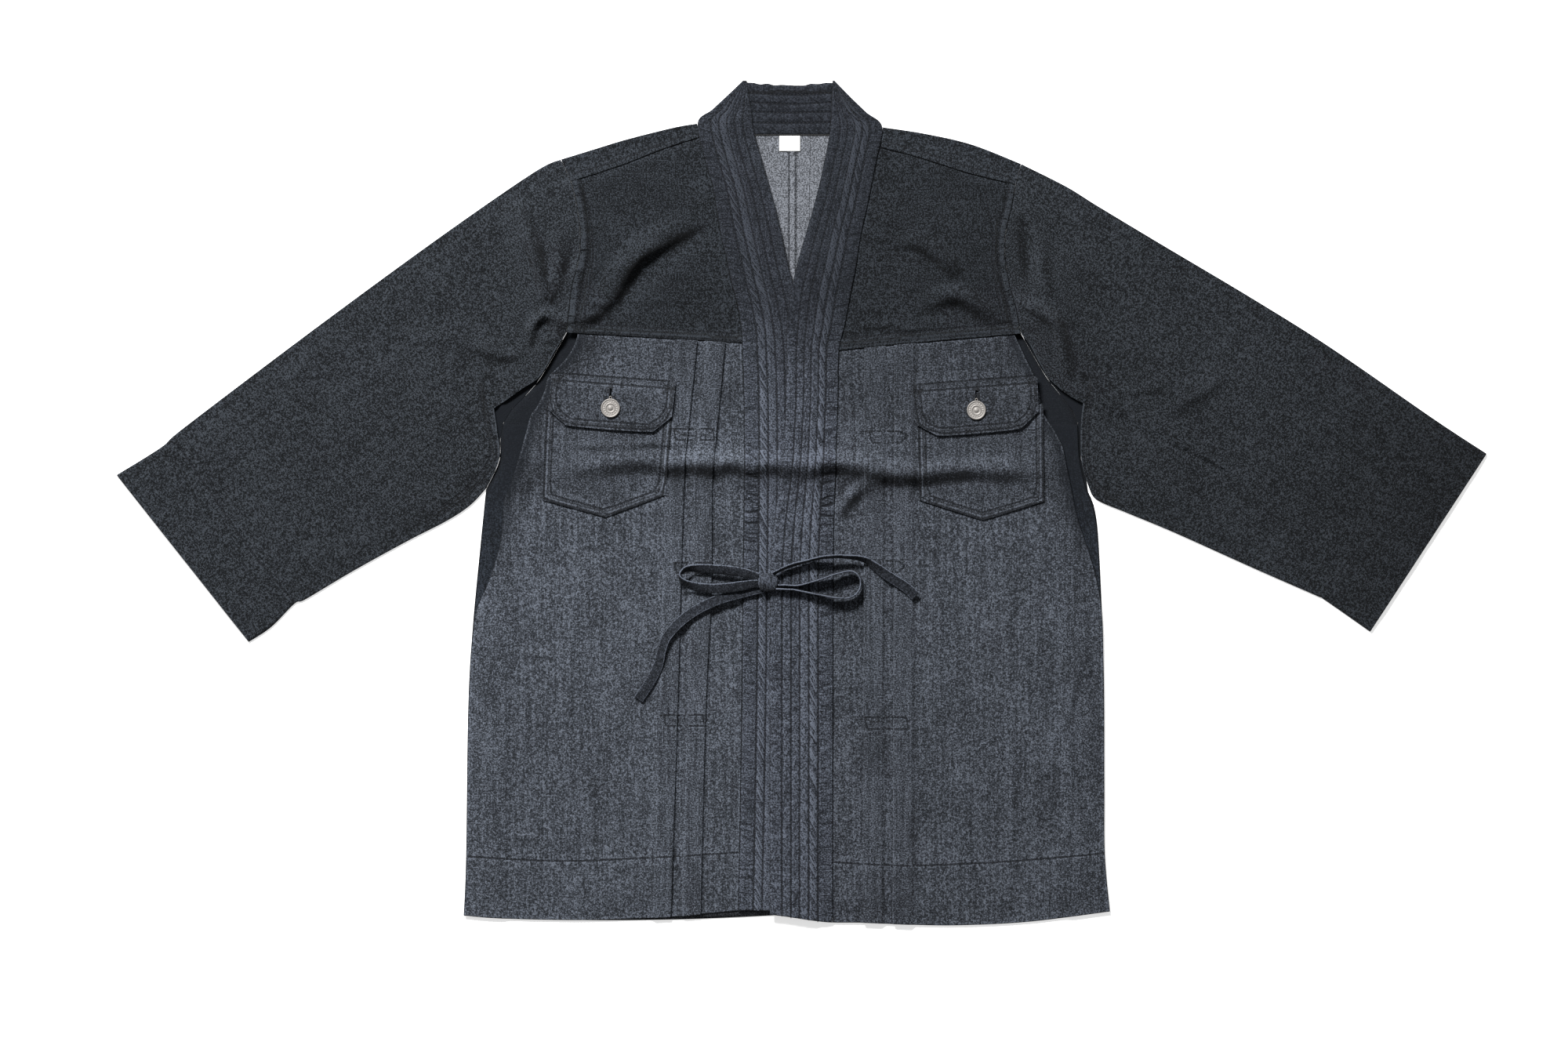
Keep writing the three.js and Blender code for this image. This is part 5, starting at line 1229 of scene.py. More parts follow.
def pocket_piece(side):
    name = "pocket_" + side.name
    p = side.pocket
    width = abs(p["inner"][0] - p["outer"][0])
    cols, rows = shares(width, 1.5), shares(p["mouth"] - min(p["corners"]) + 8, 1.5)
    top_x = p["outer"][0] + (p["inner"][0] - p["outer"][0]) * cols
    tip_share = (p["point"][0] - p["outer"][1]) / (p["inner"][1] - p["outer"][1])
    foot_x = p["outer"][1] + (p["inner"][1] - p["outer"][1]) * cols
    foot_y = np.interp(cols, (0, tip_share, 1), (p["corners"][0], p["point"][1], p["corners"][1]))
    x = top_x[None] + (foot_x - top_x)[None] * rows[:, None]
    y = p["mouth"] + (foot_y[None] - p["mouth"]) * rows[:, None]
    rim = rim_distance((rows, 95.0), (cols, width))
    outline = Line(pocket_outline(side), straight=True).near(x, y, 30)[0]
    turned = 0.4 * (1 - smooth(8.5, 11, outline))
    belly = 0.5 * smooth(10, 30, outline)
    foot = panel_top(side, x, y) + 0.3 + turned + belly + 0.18 * noise(x, y, 8, 15)
    # painted shadow along the pocket's edge and painted highlight on the ridge inside it, partly dark seam and rubbed
    # wear
    fields = {**pucker_field(pocket_rows(side), x, y, 6.5),
              "worn": rim_wear_and_light(outline, -1.5, 0.9, 1.4) + painted_slope_light(x, y), "dim": SHADE[name] + 0 * x}
    return cloth(name, np.stack([x, y], axis=-1), foot, rim, fields=fields)


def flap_foot(side, x, y):
    (x0, y0), (x1, y1) = side.flap[:2]
    seam_y = y0 + (y1 - y0) * (x - x0) / (x1 - x0)
    off = smooth(0, HINGE, seam_y - y)
    return panel_top(side, x, y) + POCKET_CLEARANCE + 0.4 + off * (WALL + POCKET_CLEARANCE + 0.5)


def flap_rows(side):
    a, b = np.array(side.flap[0]), np.array(side.flap[1])
    way = (b - a) / np.linalg.norm(b - a)
    along_top = Line(np.stack([a + way * 1.5 - (0, 5.6), b - way * 1.5 - (0, 5.6)]), straight=True)
    return rows_inside([side.flap[k] for k in (0, 5, 4, 3, 2, 1)], side, (1.3, 6.2)) + [along_top]


def flap_piece(side):
    name = "flap_" + side.name
    outer_top, inner_top, inner_mid, inner_foot, outer_foot, outer_mid = np.array(side.flap, float)
    width = np.linalg.norm(inner_top - outer_top)
    bx, by = side.button
    slot_share = (bx - outer_mid[0]) / (inner_mid[0] - outer_mid[0])
    cols = shares(width, 1.5)
    fine = slot_share + np.linspace(-1, 1, 4) * SLOT["half_width"] / width
    cols = np.sort(np.concatenate([cols[np.abs(cols - slot_share) > 1.9 / width], fine]))
    upper = np.linspace(0, 1, 24)[:, None, None]
    lower = shares(14, 1.3, (False, True))[1:, None, None]
    line = lambda a, b: a + (b - a) * cols[:, None]
    top, middle, foot = line(outer_top, inner_top), line(outer_mid, inner_mid), line(outer_foot, inner_foot)
    bow = (np.sin(np.pi * cols) ** 0.7)[:, None] * (0, -1.2)
    way = (middle - top) / np.linalg.norm(middle - top, axis=1, keepdims=True)
    plan = np.concatenate([top[None] + way[None] * np.array([0, *RIM[:-1]])[:, None, None],
                           top[None] + (middle - top)[None] * upper[1:],
                           middle[None] + (foot + bow - middle)[None] * lower])
    x, y = plan[..., 0], plan[..., 1]
    rim = Line(np.array(side.flap + [side.flap[0]]), straight=True).near(x, y, 400)[0]
    rim[-1], rim[0], rim[:, 0], rim[:, -1] = 0, 0, 0, 0
    # painted shadow along the flap's edge and painted highlight on the ridge inside it, partly dark seam and rubbed
    # wear
    fields = {**pucker_field(flap_rows(side), x, y, 6), "worn": rim_wear_and_light(rim, -1.5, 0.9, 1.5),
              "dim": SHADE[name] + 0 * x}
    wavy_edge = 0.5 * smooth(16, 0, rim) * noise(x, y, 13, 17) * smooth(2, 14, side.flap[0][1] - y)
    cell_x, cell_y = np.moveaxis(plan[:-1, :-1] + plan[1:, :-1] + plan[:-1, 1:] + plan[1:, 1:], -1, 0) / 4
    holes = (np.abs(cell_x - bx) < SLOT["half_width"]) & (cell_y > by + SLOT["foot"]) & (cell_y < by + SLOT["top"])
    return cloth(name, plan, flap_foot(side, x, y) + wavy_edge, rim, FLAP_WALL, 1.1, fields, holes)


# ---------- buttons ----------
def ring_faces(rings, count):
    """Quads round closed rings of places, from each ring to the next."""
    index = np.arange(rings * count).reshape(rings, count)
    around = np.roll(index, -1, axis=1)
    return index, np.stack([index[:-1], around[:-1], around[1:], index[1:]], axis=-1).reshape(-1, 4)


def lathe(profile, centre, steps):
    """A closed turned shape from (radius, height) pairs that start and end on the axis."""
    angles = np.linspace(0, 2 * np.pi, steps, endpoint=False)
    rings = [np.stack([r * np.cos(angles), r * np.sin(angles), 0 * angles + z], axis=-1) for r, z in profile]
    return np.concatenate(rings) + centre, ring_faces(len(rings), steps)[1]


def button_piece(side):
    x, y = side.button
    z = float(flap_foot(side, x, y)) + FLAP_WALL + 0.5
    start = float(panel_top(side, x, y)) + 2.4
    profile = [(0.001, start), (1.9, start)] + [(radius, z + height) for radius, height in BUTTON_PROFILE]
    corners, faces = lathe(profile, np.array([x, y, 0.0]), 90)
    radius = np.hypot(corners[:, 0] - x, corners[:, 1] - y)
    turn = np.arctan2(corners[:, 1] - y, corners[:, 0] - x)
    ring = np.exp(-((radius - BEADS["radius"]) / BEADS["width"]) ** 2) * (corners[:, 2] > z + 1)
    corners[:, 2] += BEADS["height"] * np.clip(np.cos(BEADS["count"] * turn), 0, 1) * ring
    return join("button_" + side.name, [new_piece("disc", corners, faces), wire_loop(x, y + 9.2, z + 0.9)])


def wire_loop(x, y, z, radius=1.25, wire=0.34):
    """A small upright ring of wire at the button's edge."""
    turns, sides = 24, 8
    along, around = np.meshgrid(np.linspace(0, 2 * np.pi, turns + 1)[:-1], np.linspace(0, 2 * np.pi, sides + 1)[:-1],
                                indexing="ij")
    reach = radius + wire * np.cos(around)
    corners = np.stack([x + 0.8 * reach * np.cos(along), y + reach * np.sin(along), z + wire * np.sin(around)],
                       axis=-1)
    index = np.arange(along.size).reshape(along.shape)
    following = np.roll(index, -1, 0)
    faces = np.stack([index, following, np.roll(following, -1, 1), np.roll(index, -1, 1)], axis=-1)
    return new_piece("loop", corners.reshape(-1, 3), faces.reshape(-1, 4))


# ---------- tie ----------
def route_through(stops, steps):
    """Places, ways and leans along a free curve through a strip's stops."""
    p, lean = stops[:, :3], stops[:, 3]
    ext = np.concatenate([[2 * p[0] - p[1]], p, [2 * p[-1] - p[-2]]])
    gaps = np.linalg.norm(np.diff(ext, axis=0), axis=1) ** 0.5
    t = np.linspace(0, len(p) - 1, steps)
    k = np.minimum(t.astype(int), len(p) - 2)
    w = (t - k)[:, None]
    a, b, c, d = ext[k], ext[k + 1], ext[k + 2], ext[k + 3]
    g0, g1, g2 = (gaps[k + n][:, None] for n in range(3))
    m1 = ((b - a) / g0 - (c - a) / (g0 + g1) + (c - b) / g1) * g1
    m2 = ((c - b) / g1 - (d - b) / (g1 + g2) + (d - c) / g2) * g1
    c2, c3 = -3 * b + 3 * c - 2 * m1 - m2, 2 * b - 2 * c + m1 + m2
    place = b + m1 * w + c2 * w**2 + c3 * w**3
    way = m1 + 2 * c2 * w + 3 * c3 * w**2
    way /= np.linalg.norm(way, axis=1, keepdims=True)
    return place, way, np.interp(t, np.arange(len(p)), lean)


def strip_section(wide, thick):
    """A soft folded strip across, fuller at its folded edges."""
    angle = np.linspace(0, 2 * np.pi, 24, endpoint=False)
    x = np.sign(np.cos(angle)) * np.abs(np.cos(angle)) ** 0.35
    y = np.sin(angle) * (0.86 + 0.14 * np.abs(x) ** 3)
    return x * wide, np.sign(y) * np.abs(y) ** 0.8 * thick


def strip_piece(name, seed):
    stops = np.array(TIE_STRIPS[name], float)
    length = np.sum(np.linalg.norm(np.diff(stops[:, :3], axis=0), axis=1))
    steps = int(length / 1.3)
    place, way, lean = route_through(stops, steps)
    angle = np.radians(lean)[:, None]
    level = np.stack([-way[:, 1], way[:, 0], 0 * way[:, 0]], axis=-1)
    level /= np.linalg.norm(level, axis=1, keepdims=True)
    across = level * np.cos(angle) + np.array([0, 0, 1.0]) * np.sin(angle)
    across -= way * np.sum(across * way, axis=1, keepdims=True)
    across /= np.linalg.norm(across, axis=1, keepdims=True)
    out = np.cross(way, across)
    run = np.linspace(0, length, steps)[:, None]
    to_knot = np.minimum(np.linalg.norm(place - (KNOT["x"], KNOT["y"], KNOT["z"]), axis=1), 60)[:, None]
    wide = TIE_WIDTH / 2 * (1 - 0.22 * (1 - smooth(6, 26, to_knot)))
    x, y = (line[None] for line in strip_section(1.0, TIE_THICKNESS / 2))
    crumple = 0.35 * noise(run, x * 4, 5, seed) + 0.3 * noise(run, x * 3, 11, seed + 1)
    cup = 0.5 * (x ** 2 - 0.4) * np.sin(run / 23 + seed)
    thick = y + crumple * (0.4 + 0.6 * (1 - smooth(8, 40, to_knot))) + cup
    corners = place[:, None] + across[:, None] * (x * wide)[..., None] + out[:, None] * thick[..., None]
    pucker = np.stack(np.broadcast_arrays(run, x * TIE_WIDTH / 2 * 0.6, 0.5), axis=-1)
    # painted highlight along the strip's folded edges, painted shade over its middle
    worn = 1.3 * (1 - smooth(0.0, 0.16, 1 - np.abs(x))) + 0 * run
    return tube(name, corners, pucker, worn, 1 - smooth(0.8, 0.95, np.abs(x)))


def tube(name, rings, pucker, worn, dim):
    """A closed tube of rings with rounded ends."""
    count = rings.shape[1]
    caps = []
    for ring, following in ((rings[0], rings[1]), (rings[-1], rings[-2])):
        middle = ring.mean(axis=0)
        away = middle - following.mean(axis=0)
        away /= np.linalg.norm(away)
        caps.append([middle + (ring - middle) * s + away * d for s, d in TUBE_CAP])
    rings = np.concatenate([caps[0][::-1], rings, caps[1]])
    lengthen = lambda values: np.concatenate([values[:1]] * len(TUBE_CAP) + [values] + [values[-1:]] * len(TUBE_CAP))
    index, faces = ring_faces(len(rings), count)
    lids = []
    for ring in (index[0][::-1], index[-1]):
        lids.extend([[ring[k], ring[k + 1], ring[-k - 2], ring[-k - 1]] for k in range(count // 2 - 1)])
    dim = np.broadcast_to(dim, rings.shape[:2]).reshape(-1)
    # the painted shade also brings in painted deep shade at 0.45 of its strength
    fields = {"pucker": lengthen(pucker).reshape(-1, 3), "worn": lengthen(worn).reshape(-1),
              "row": np.full(dim.size, float(NO_ROW)), "dim": dim, "deep": 0.45 * dim}
    return new_piece(name, rings.reshape(-1, 3), np.concatenate([faces, np.array(lids)]), fields)


def knot_piece():
    """The knot: a squeezed lump with the folds of the strip that goes round it."""
    rows, cols = 34, 56
    lat = np.linspace(-np.pi / 2 + 0.02, np.pi / 2 - 0.02, rows)[:, None]
    lon = np.linspace(0, 2 * np.pi, cols, endpoint=False)[None]
    power = lambda v, e: np.sign(v) * np.abs(v) ** e
    x = power(np.cos(lat), 0.8) * power(np.cos(lon), 0.75)
    y = power(np.cos(lat), 0.8) * power(np.sin(lon), 0.9)
    z = power(np.sin(lat), 0.85) + 0 * lon
    folds = 0.07 * np.sin(5.2 * x + 1.3 * y + 0.6) + 0.05 * np.sin(9.5 * x - 2.2 * y)
    size = 1 + folds * (0.4 + 0.6 * np.clip(z, 0, 1))
    corners = np.stack([KNOT["x"] + KNOT["half_x"] * x * size, KNOT["y"] + KNOT["half_y"] * y * size * 1.05,
                        KNOT["z"] + KNOT["half_z"] * z * size], axis=-1)
    pucker = np.stack([corners[..., 0] * 2, corners[..., 1], 0 * x + 1.2], axis=-1)
    # painted shade on the knot's lower side, and half-strength painted shade all over
    return tube("tie_knot", corners, pucker, 0.3 - 1.2 * smooth(0.1, -0.8, y + 0.3 * np.sin(4 * x)), 0.5)


def label_piece():
    width, height = LABEL["right"] - LABEL["left"], LABEL["top"] - LABEL["foot"]
    rows, cols = shares(height, 1.2), shares(width, 1.2)
    x = LABEL["left"] + width * cols[None] + 0 * rows[:, None]
    y = LABEL["top"] - height * rows[:, None] + 0 * cols[None]
    rim = rim_distance((rows, height), (cols, width))
    base = WALL + 0.3 + 0.15 * np.sin(cols * 5)[None] * (1 - rows)[:, None]
    fields = {"pucker": np.zeros(x.shape + (3,)), "worn": 0 * x, "row": NO_ROW + 0 * x}
    return cloth("neck_label", np.stack([x, y], axis=-1), base, rim, LABEL["wall"], 0.4, fields)


# ---------- stitches ----------
def stitch_tree():
    """Geometry nodes that lay one stitch after another along a piece's rows."""
    tree = bpy.data.node_groups.new("Stitches along rows", "GeometryNodeTree")
    tree.is_modifier = True
    face = tree.interface
    face.new_socket("Rows", in_out="INPUT", socket_type="NodeSocketGeometry")
    for label, value in (("Pitch", 0.0034), ("Length", 0.0027), ("Width", 0.0009)):
        socket = face.new_socket(label, in_out="INPUT", socket_type="NodeSocketFloat")
        socket.default_value, socket.subtype = value, "DISTANCE"
    face.new_socket("Thread", in_out="INPUT", socket_type="NodeSocketMaterial")
    face.new_socket("Stitches", in_out="OUTPUT", socket_type="NodeSocketGeometry")
    n = tree.nodes
    source, out = n.new("NodeGroupInput"), n.new("NodeGroupOutput")
    points = n.new("GeometryNodeCurveToPoints")
    points.mode = "LENGTH"
    bead = n.new("GeometryNodeMeshIcoSphere")
    bead.inputs["Radius"].default_value = 0.5
    bead.inputs["Subdivisions"].default_value = 1
    stretch = n.new("ShaderNodeCombineXYZ")
    form = n.new("GeometryNodeTransform")
    place = n.new("GeometryNodeInstanceOnPoints")
    realize, shade = n.new("GeometryNodeRealizeInstances"), n.new("GeometryNodeSetShadeSmooth")
    finish = n.new("GeometryNodeSetMaterial")
    for start, output, end, socket in (
            (source, "Rows", points, "Curve"), (source, "Pitch", points, "Length"), (source, "Width", stretch, "X"),
            (source, "Width", stretch, "Y"), (source, "Length", stretch, "Z"), (bead, "Mesh", form, "Geometry"),
            (stretch, "Vector", form, "Scale"), (points, "Points", place, "Points"),
            (points, "Rotation", place, "Rotation"), (form, "Geometry", place, "Instance"),
            (place, "Instances", realize, "Geometry"), (realize, "Geometry", shade, "Geometry"),
            (shade, "Geometry", finish, "Geometry"), (source, "Thread", finish, "Material"),
            (finish, "Geometry", out, "Stitches")):
        tree.links.new(start.outputs[output], end.inputs[socket])
    return tree


def dropped(piece, line, below=False, sink=0.12):
    """A row's places on the top, or the underside, of a piece."""
    where = line.at(np.linspace(0, 1, max(2, int(line.length / 1.7) + 1)))
    down = Vector((0, 0, 1 if below else -1))
    places = []
    for x, y in where[:, :2]:
        hit, spot, normal, _ = piece.ray_cast(Vector((x * MM, y * MM, -0.1 if below else 0.1)), down)
        if hit and abs(normal.z) > 0.25:
            places.append(spot - normal * sink * MM)
    return places


def sew(name, rows, thread, sewing):
    """A piece of stitches over rows of places."""
    curve = bpy.data.curves.new(name + "_rows", "CURVE")
    curve.dimensions = "3D"
    for places in rows:
        if len(places) < 2:
            continue
        row = curve.splines.new("POLY")
        row.points.add(len(places) - 1)
        row.points.foreach_set("co", [c for p in places for c in (*p, 1)])
    guide = link_object(name + "_rows", curve)
    tree = bpy.data.node_groups.get("Stitches along rows") or stitch_tree()
    modifier = guide.modifiers.new("Stitches", "NODES")
    modifier.node_group = tree
    values = {"Pitch": sewing.pitch, "Length": sewing.length, "Width": sewing.width, "Thread": thread}
    for socket in tree.interface.items_tree:
        if socket.in_out == "INPUT" and socket.name in values:
            modifier[socket.identifier] = values[socket.name]
    bpy.context.view_layer.update()
    evaluated = guide.evaluated_get(bpy.context.evaluated_depsgraph_get())
    mesh = bpy.data.meshes.new_from_object(evaluated)
    mesh.name = name
    bpy.data.objects.remove(guide)
    return link_object(name, mesh)


def slot_row(side):
    """The zigzag of thread round a buttonhole."""
    x, y = side.button
    foot, top, half = y + SLOT["foot"], y + SLOT["top"], SLOT["half_width"]
    places = []
    for level in np.arange(foot, top + 0.1, 0.8):
        places.append([(x - half - 1.9, level), (x - half + 0.1, level)])
        places.append([(x + half - 0.1, level), (x + half + 1.9, level)])
    for angle in np.radians(np.linspace(15, 165, 6)):
        c, s = math.cos(angle), math.sin(angle)
        places.append([(x + half * c, top + half * s), (x + (half + 2) * c, top + (half + 2) * s)])
    return places


# ---------- materials ----------
def add_node(tree, kind, settings=(), **inputs):
    made = tree.nodes.new("ShaderNode" + kind)
    for key, value in dict(settings).items():
        setattr(made, key, value)
    for key, value in inputs.items():
        socket = made.inputs[int(key[1:])] if key[0] == "i" and key[1:].isdigit() else made.inputs[key]
        if isinstance(value, bpy.types.NodeSocket):
            tree.links.new(value, socket)
        else:
            socket.default_value = value
    return made


def maths(tree, operation, *values):
    inputs = {f"i{k}": value for k, value in enumerate(values)}
    return add_node(tree, "Math", {"operation": operation}, **inputs).outputs[0]


def rgb(colour, factor=1.0):
    return tuple(min(1.0, c * factor) for c in colour[:3]) + (1.0,)


def start_material(name):
    """A new material, its tree, its shader and the object's own coordinates."""
    material = bpy.data.materials.new(name)
    material.use_nodes = True
    tree = material.node_tree
    return material, tree, tree.nodes["Principled BSDF"], add_node(tree, "TexCoord").outputs["Object"]


def denim(part, look):
    """Worn denim: flecks, warp streaks, cross slubs, puckers, pressed rows, rubbed ridges, painted light and shade.
    """
    colour, turn, streaks, dashes, flecks = DENIM_OF[part]
    colour = getattr(look, colour)
    material, tree, shader, where = start_material("Denim of the " + part)
    turned = add_node(tree, "Mapping", Vector=where, Rotation=(0, 0, math.radians(turn))).outputs["Vector"]

    def grain(stretch, size, detail, rough, start):
        mapped = add_node(tree, "Mapping", Vector=turned, Scale=stretch, Location=start)
        return add_node(tree, "TexNoise", Vector=mapped.outputs["Vector"], Scale=size, Detail=detail,
                        Roughness=rough).outputs["Fac"]

    def field(name, output="Fac"):
        return add_node(tree, "Attribute", {"attribute_name": name}).outputs[output]

    def times(first, second):
        return maths(tree, "MULTIPLY", first, second)

    def away_from(value, middle=0.0):
        return maths(tree, "ABSOLUTE", maths(tree, "SUBTRACT", value, middle) if middle else value)

    def centred(value, amount):
        return times(maths(tree, "SUBTRACT", value, 0.5), amount)

    def total(*terms):
        return functools.reduce(lambda a, b: maths(tree, "ADD", a, b), terms)

    def band(value, start, end):
        """1 up to start, 0 from end on."""
        return add_node(tree, "MapRange", i0=value, i1=start, i2=end, i3=1.0, i4=0.0).outputs[0]

    fleck, speck, thread, streak, dash, cloud, patch = (grain(*row) for row in GRAINS.values())

    parts = add_node(tree, "SeparateXYZ", Vector=field("pucker", "Vector"))
    spot = add_node(tree, "CombineXYZ", X=maths(tree, "DIVIDE", parts.outputs["X"], GATHER["along"]),
                    Y=maths(tree, "DIVIDE", parts.outputs["Y"], GATHER["across"]))
    gathers = add_node(tree, "TexNoise", Vector=spot.outputs["Vector"], Scale=1.0, Detail=2.0, Roughness=0.5)
    # painted highlight on the puckers' raised places and crests, painted shade in their hollows, besides their bump
    level = centred(gathers.outputs["Fac"], 2.0)
    crest = maths(tree, "POWER", band(away_from(level), 0.0, 1.0), 9.0)
    pucker = times(total(level, times(crest, 0.35)), parts.outputs["Z"])
    to_row = away_from(field("row"))
    at_row = band(to_row, 0.3, 1.15)
    # rows are darker, partly dark dye along the row and partly painted shade in its groove; painted highlight on the
    # ridges beside
    sewn = times(at_row, total(speck, 0.35))
    row_ridge_highlight = times(band(to_row, 1.4, 2.8), band(times(to_row, -1.0), -1.5, -0.8))
    # rubbed wear and painted highlight above 0, dark seams and painted shade below, from the mesh
    rubbed = times(field("worn"), times(patch, 1.6))

    # painted highlight along each crease of the quilting, painted shade beside it
    fold = add_node(tree, "SeparateXYZ", Vector=field("crease", "Vector"))
    near, beside = away_from(fold.outputs["X"]), away_from(fold.outputs["X"], 1.5)
    crease_highlight = times(band(near, 0.25, 0.95), fold.outputs["Y"])
    shadow = total(times(band(beside, 0.2, 0.8), fold.outputs["Y"]), times(band(near, 0.3, 1.5), fold.outputs["Z"]))
    lines = total(times(crease_highlight, 1.3 * look.pucker), times(shadow, -0.6 * look.pucker))

    tone = total(0.5, lines, centred(fleck, flecks * look.grain), centred(speck, 0.65 * look.grain),
                 centred(thread, 0.5 * look.grain), centred(streak, streaks), centred(dash, dashes),
                 centred(cloud, 0.4 * look.fade), centred(patch, 0.2 * look.fade), times(pucker, 0.5 * look.pucker),
                 times(sewn, -0.5 * look.pucker), times(row_ridge_highlight, 0.1 * look.pucker),
                 times(rubbed, 0.55 * look.wear))

    def shades(colour, tones):
        ramp = add_node(tree, "ValToRGB", Fac=tone)
        ends = ramp.color_ramp.elements
        while len(ends) < len(tones):
            ends.new(0.5)
        for end, (position, factor) in zip(ends, tones):
            end.position, end.color = position, rgb(colour, factor)
        return ramp.outputs["Color"]

    def blend(amount, below, above):
        return add_node(tree, "Mix", {"data_type": "RGBA"}, i0=amount, i6=below, i7=above).outputs[2]

    # painted shade, partly a piece's own darker tone
    shade = blend(field("dim"), shades(colour, PLAIN_TONES), shades(colour, DIM_TONES))
    shade = blend(field("lining"), shade, shades(look.lining, LINING_TONES))
    # painted deep shade: the shadow colour, mixed in where the mesh asks and along rows of stitches
    shade = blend(total(field("deep"), times(at_row, 0.42 * look.pucker)), shade, rgb(look.shadow))
    tree.links.new(shade, shader.inputs["Base Color"])
    height = total(times(fleck, 0.5 * look.grain), times(thread, 0.25 * look.grain), times(pucker, 1.1 * look.pucker),
                   times(patch, 0.7), times(band(to_row, 0.0, 1.3), -0.5 * look.pucker), times(lines, 0.55))
    bump = add_node(tree, "Bump", Strength=1.0, Distance=0.0007, Height=height)
    tree.links.new(bump.outputs["Normal"], shader.inputs["Normal"])
    for socket, value in CLOTH_SURFACE.items():
        shader.inputs[socket].default_value = value
    return material


def plain_finish(name, colour, roughness, metallic=0.0, size=900, amount=0.25, bump=0.0001):
    """Thread, tape, metal or floor: one colour with a fine grain in it."""
    material, tree, shader, where = start_material(name)
    grain = add_node(tree, "TexNoise", Vector=where, Scale=size, Detail=3.0).outputs["Fac"]
    ramp = add_node(tree, "ValToRGB", Fac=grain)
    for end, position, factor in zip(ramp.color_ramp.elements, (0.25, 0.75), (1 - amount, 1 + amount)):
        end.position, end.color = position, rgb(colour, factor)
    tree.links.new(ramp.outputs["Color"], shader.inputs["Base Color"])
    if bump:
        raised_grain = add_node(tree, "Bump", Strength=0.6, Distance=bump, Height=grain)
        tree.links.new(raised_grain.outputs["Normal"], shader.inputs["Normal"])
    shader.inputs["Roughness"].default_value = roughness
    shader.inputs["Metallic"].default_value = metallic
    return material


# ---------- settings, and what each piece is declared as ----------
def linear(red, green, blue):
    """A colour measured on a screen, as light."""
    return tuple(c / 255 / 12.92 if c <= 10 else ((c / 255 + 0.055) / 1.055) ** 2.4 for c in (red, green, blue))


def colour_setting(label, about, *screen):
    return bpy.props.FloatVectorProperty(name=label, description=about, default=linear(*screen), subtype="COLOR",
                                         size=3, min=0, max=1)


def strength_setting(label, about, default=1.0):
    return bpy.props.FloatProperty(name=label, description=about, default=default, min=0, max=3, subtype="FACTOR")


def length_setting(label, about, default, least, most):
    return bpy.props.FloatProperty(name=label, description=about, default=default, min=least, max=most,
                                   unit="LENGTH", precision=4)


class HaoriCloth(bpy.types.PropertyGroup):
    """Colours and wear of the cloth, and its painted light and shade."""
    face: colour_setting("Fronts", "Denim of the fronts, pockets and flaps", 61, 65, 72)
    yoke: colour_setting("Yokes and back", "Denim of the yokes and the back", 29, 32, 36)
    sleeve: colour_setting("Sleeves", "Denim of the sleeves", 33, 36, 40)
    # darker than the fronts' denim, as painted shade for the panels down in the vents
    side: colour_setting("Side panels", "Denim of the side panels", 30, 34, 40)
    band: colour_setting("Collar", "Denim of the quilted collar and the tie", 58, 62, 70)
    lining: colour_setting("Inside", "Reverse of the denim at the neck", 100, 103, 109)
    # a painted shadow colour, near black, mixed in where a piece asks for deep shade
    shadow: colour_setting("Deep inside", "Reverse of the denim where no light reaches", 20, 23, 28)
    label: colour_setting("Label", "Woven tape of the neck label", 240, 240, 238)
    metal: colour_setting("Buttons", "Metal of the buttons", 150, 146, 142)
    grain: strength_setting("Grain", "Strength of the flecks in the weave")
    fade: strength_setting("Fading", "Strength of the cloudy fading")
    # Puckers and Worn edges also set the painted light and shade on puckers, creases, rows, slopes and rims
    pucker: strength_setting("Puckers", "Strength of the puckers along the seams")
    wear: strength_setting("Worn edges", "How far the edges are rubbed light")


class HaoriSewing(bpy.types.PropertyGroup):
    """Size and colour of the stitches."""
    pitch: length_setting("Pitch", "From one stitch to the next", 0.0034, 0.001, 0.02)
    length: length_setting("Length", "Length of one stitch", 0.0026, 0.0005, 0.02)
    width: length_setting("Width", "Width of the thread", 0.0009, 0.0002, 0.005)
    thread: colour_setting("Thread", "Colour of the thread", 26, 28, 34)


class HaoriStage(bpy.types.PropertyGroup):
    """Floor and light."""
    floor: colour_setting("Floor", "Colour of the floor", 250, 250, 250)
    lamp: bpy.props.FloatProperty(name="Lamp", description="Power of the large lamp beyond the collar", default=325,
                                  min=0, unit="POWER")
    sky: strength_setting("Sky", "Strength of the light from all sides", 0.2)


def finish(piece, material, slot, node=None, held=None, rests_on=()):
    if material:
        piece.data.materials.clear()
        piece.data.materials.append(material)
    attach(piece, "root")
    if node:
        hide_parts(node)
        piece.name = node + "_cloth" if held else node + "_shape"
    if held:
        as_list(rests_on)


# ---------- operators ----------
def lay(maker, material, slot, kind, under=None):
    """Makes the left and the right piece of a kind, each named as cloth in place of the CAD part that it hides."""
    for side in SIDES.values():
        rests_on = [under + side.name] if under else ()
        finish(maker(side), material, slot, kind + side.name, "laid", rests_on)


class HAORI_OT_backs(bpy.types.Operator):
    """Both halves of the back, which come over the shoulders to the front"""
    bl_idname = "haori.backs"
    bl_label = "Backs"

    def execute(self, context):
        lay(back_piece, denim("back", context.scene.haori_cloth), "denim_cross", "back_")
        return {"FINISHED"}


class HAORI_OT_yokes(bpy.types.Operator):
    """The two front yokes"""
    bl_idname = "haori.yokes"
    bl_label = "Yokes"

    def execute(self, context):
        lay(yoke_piece, denim("yokes", context.scene.haori_cloth), "denim_cross", "yoke_", "back_")
        return {"FINISHED"}


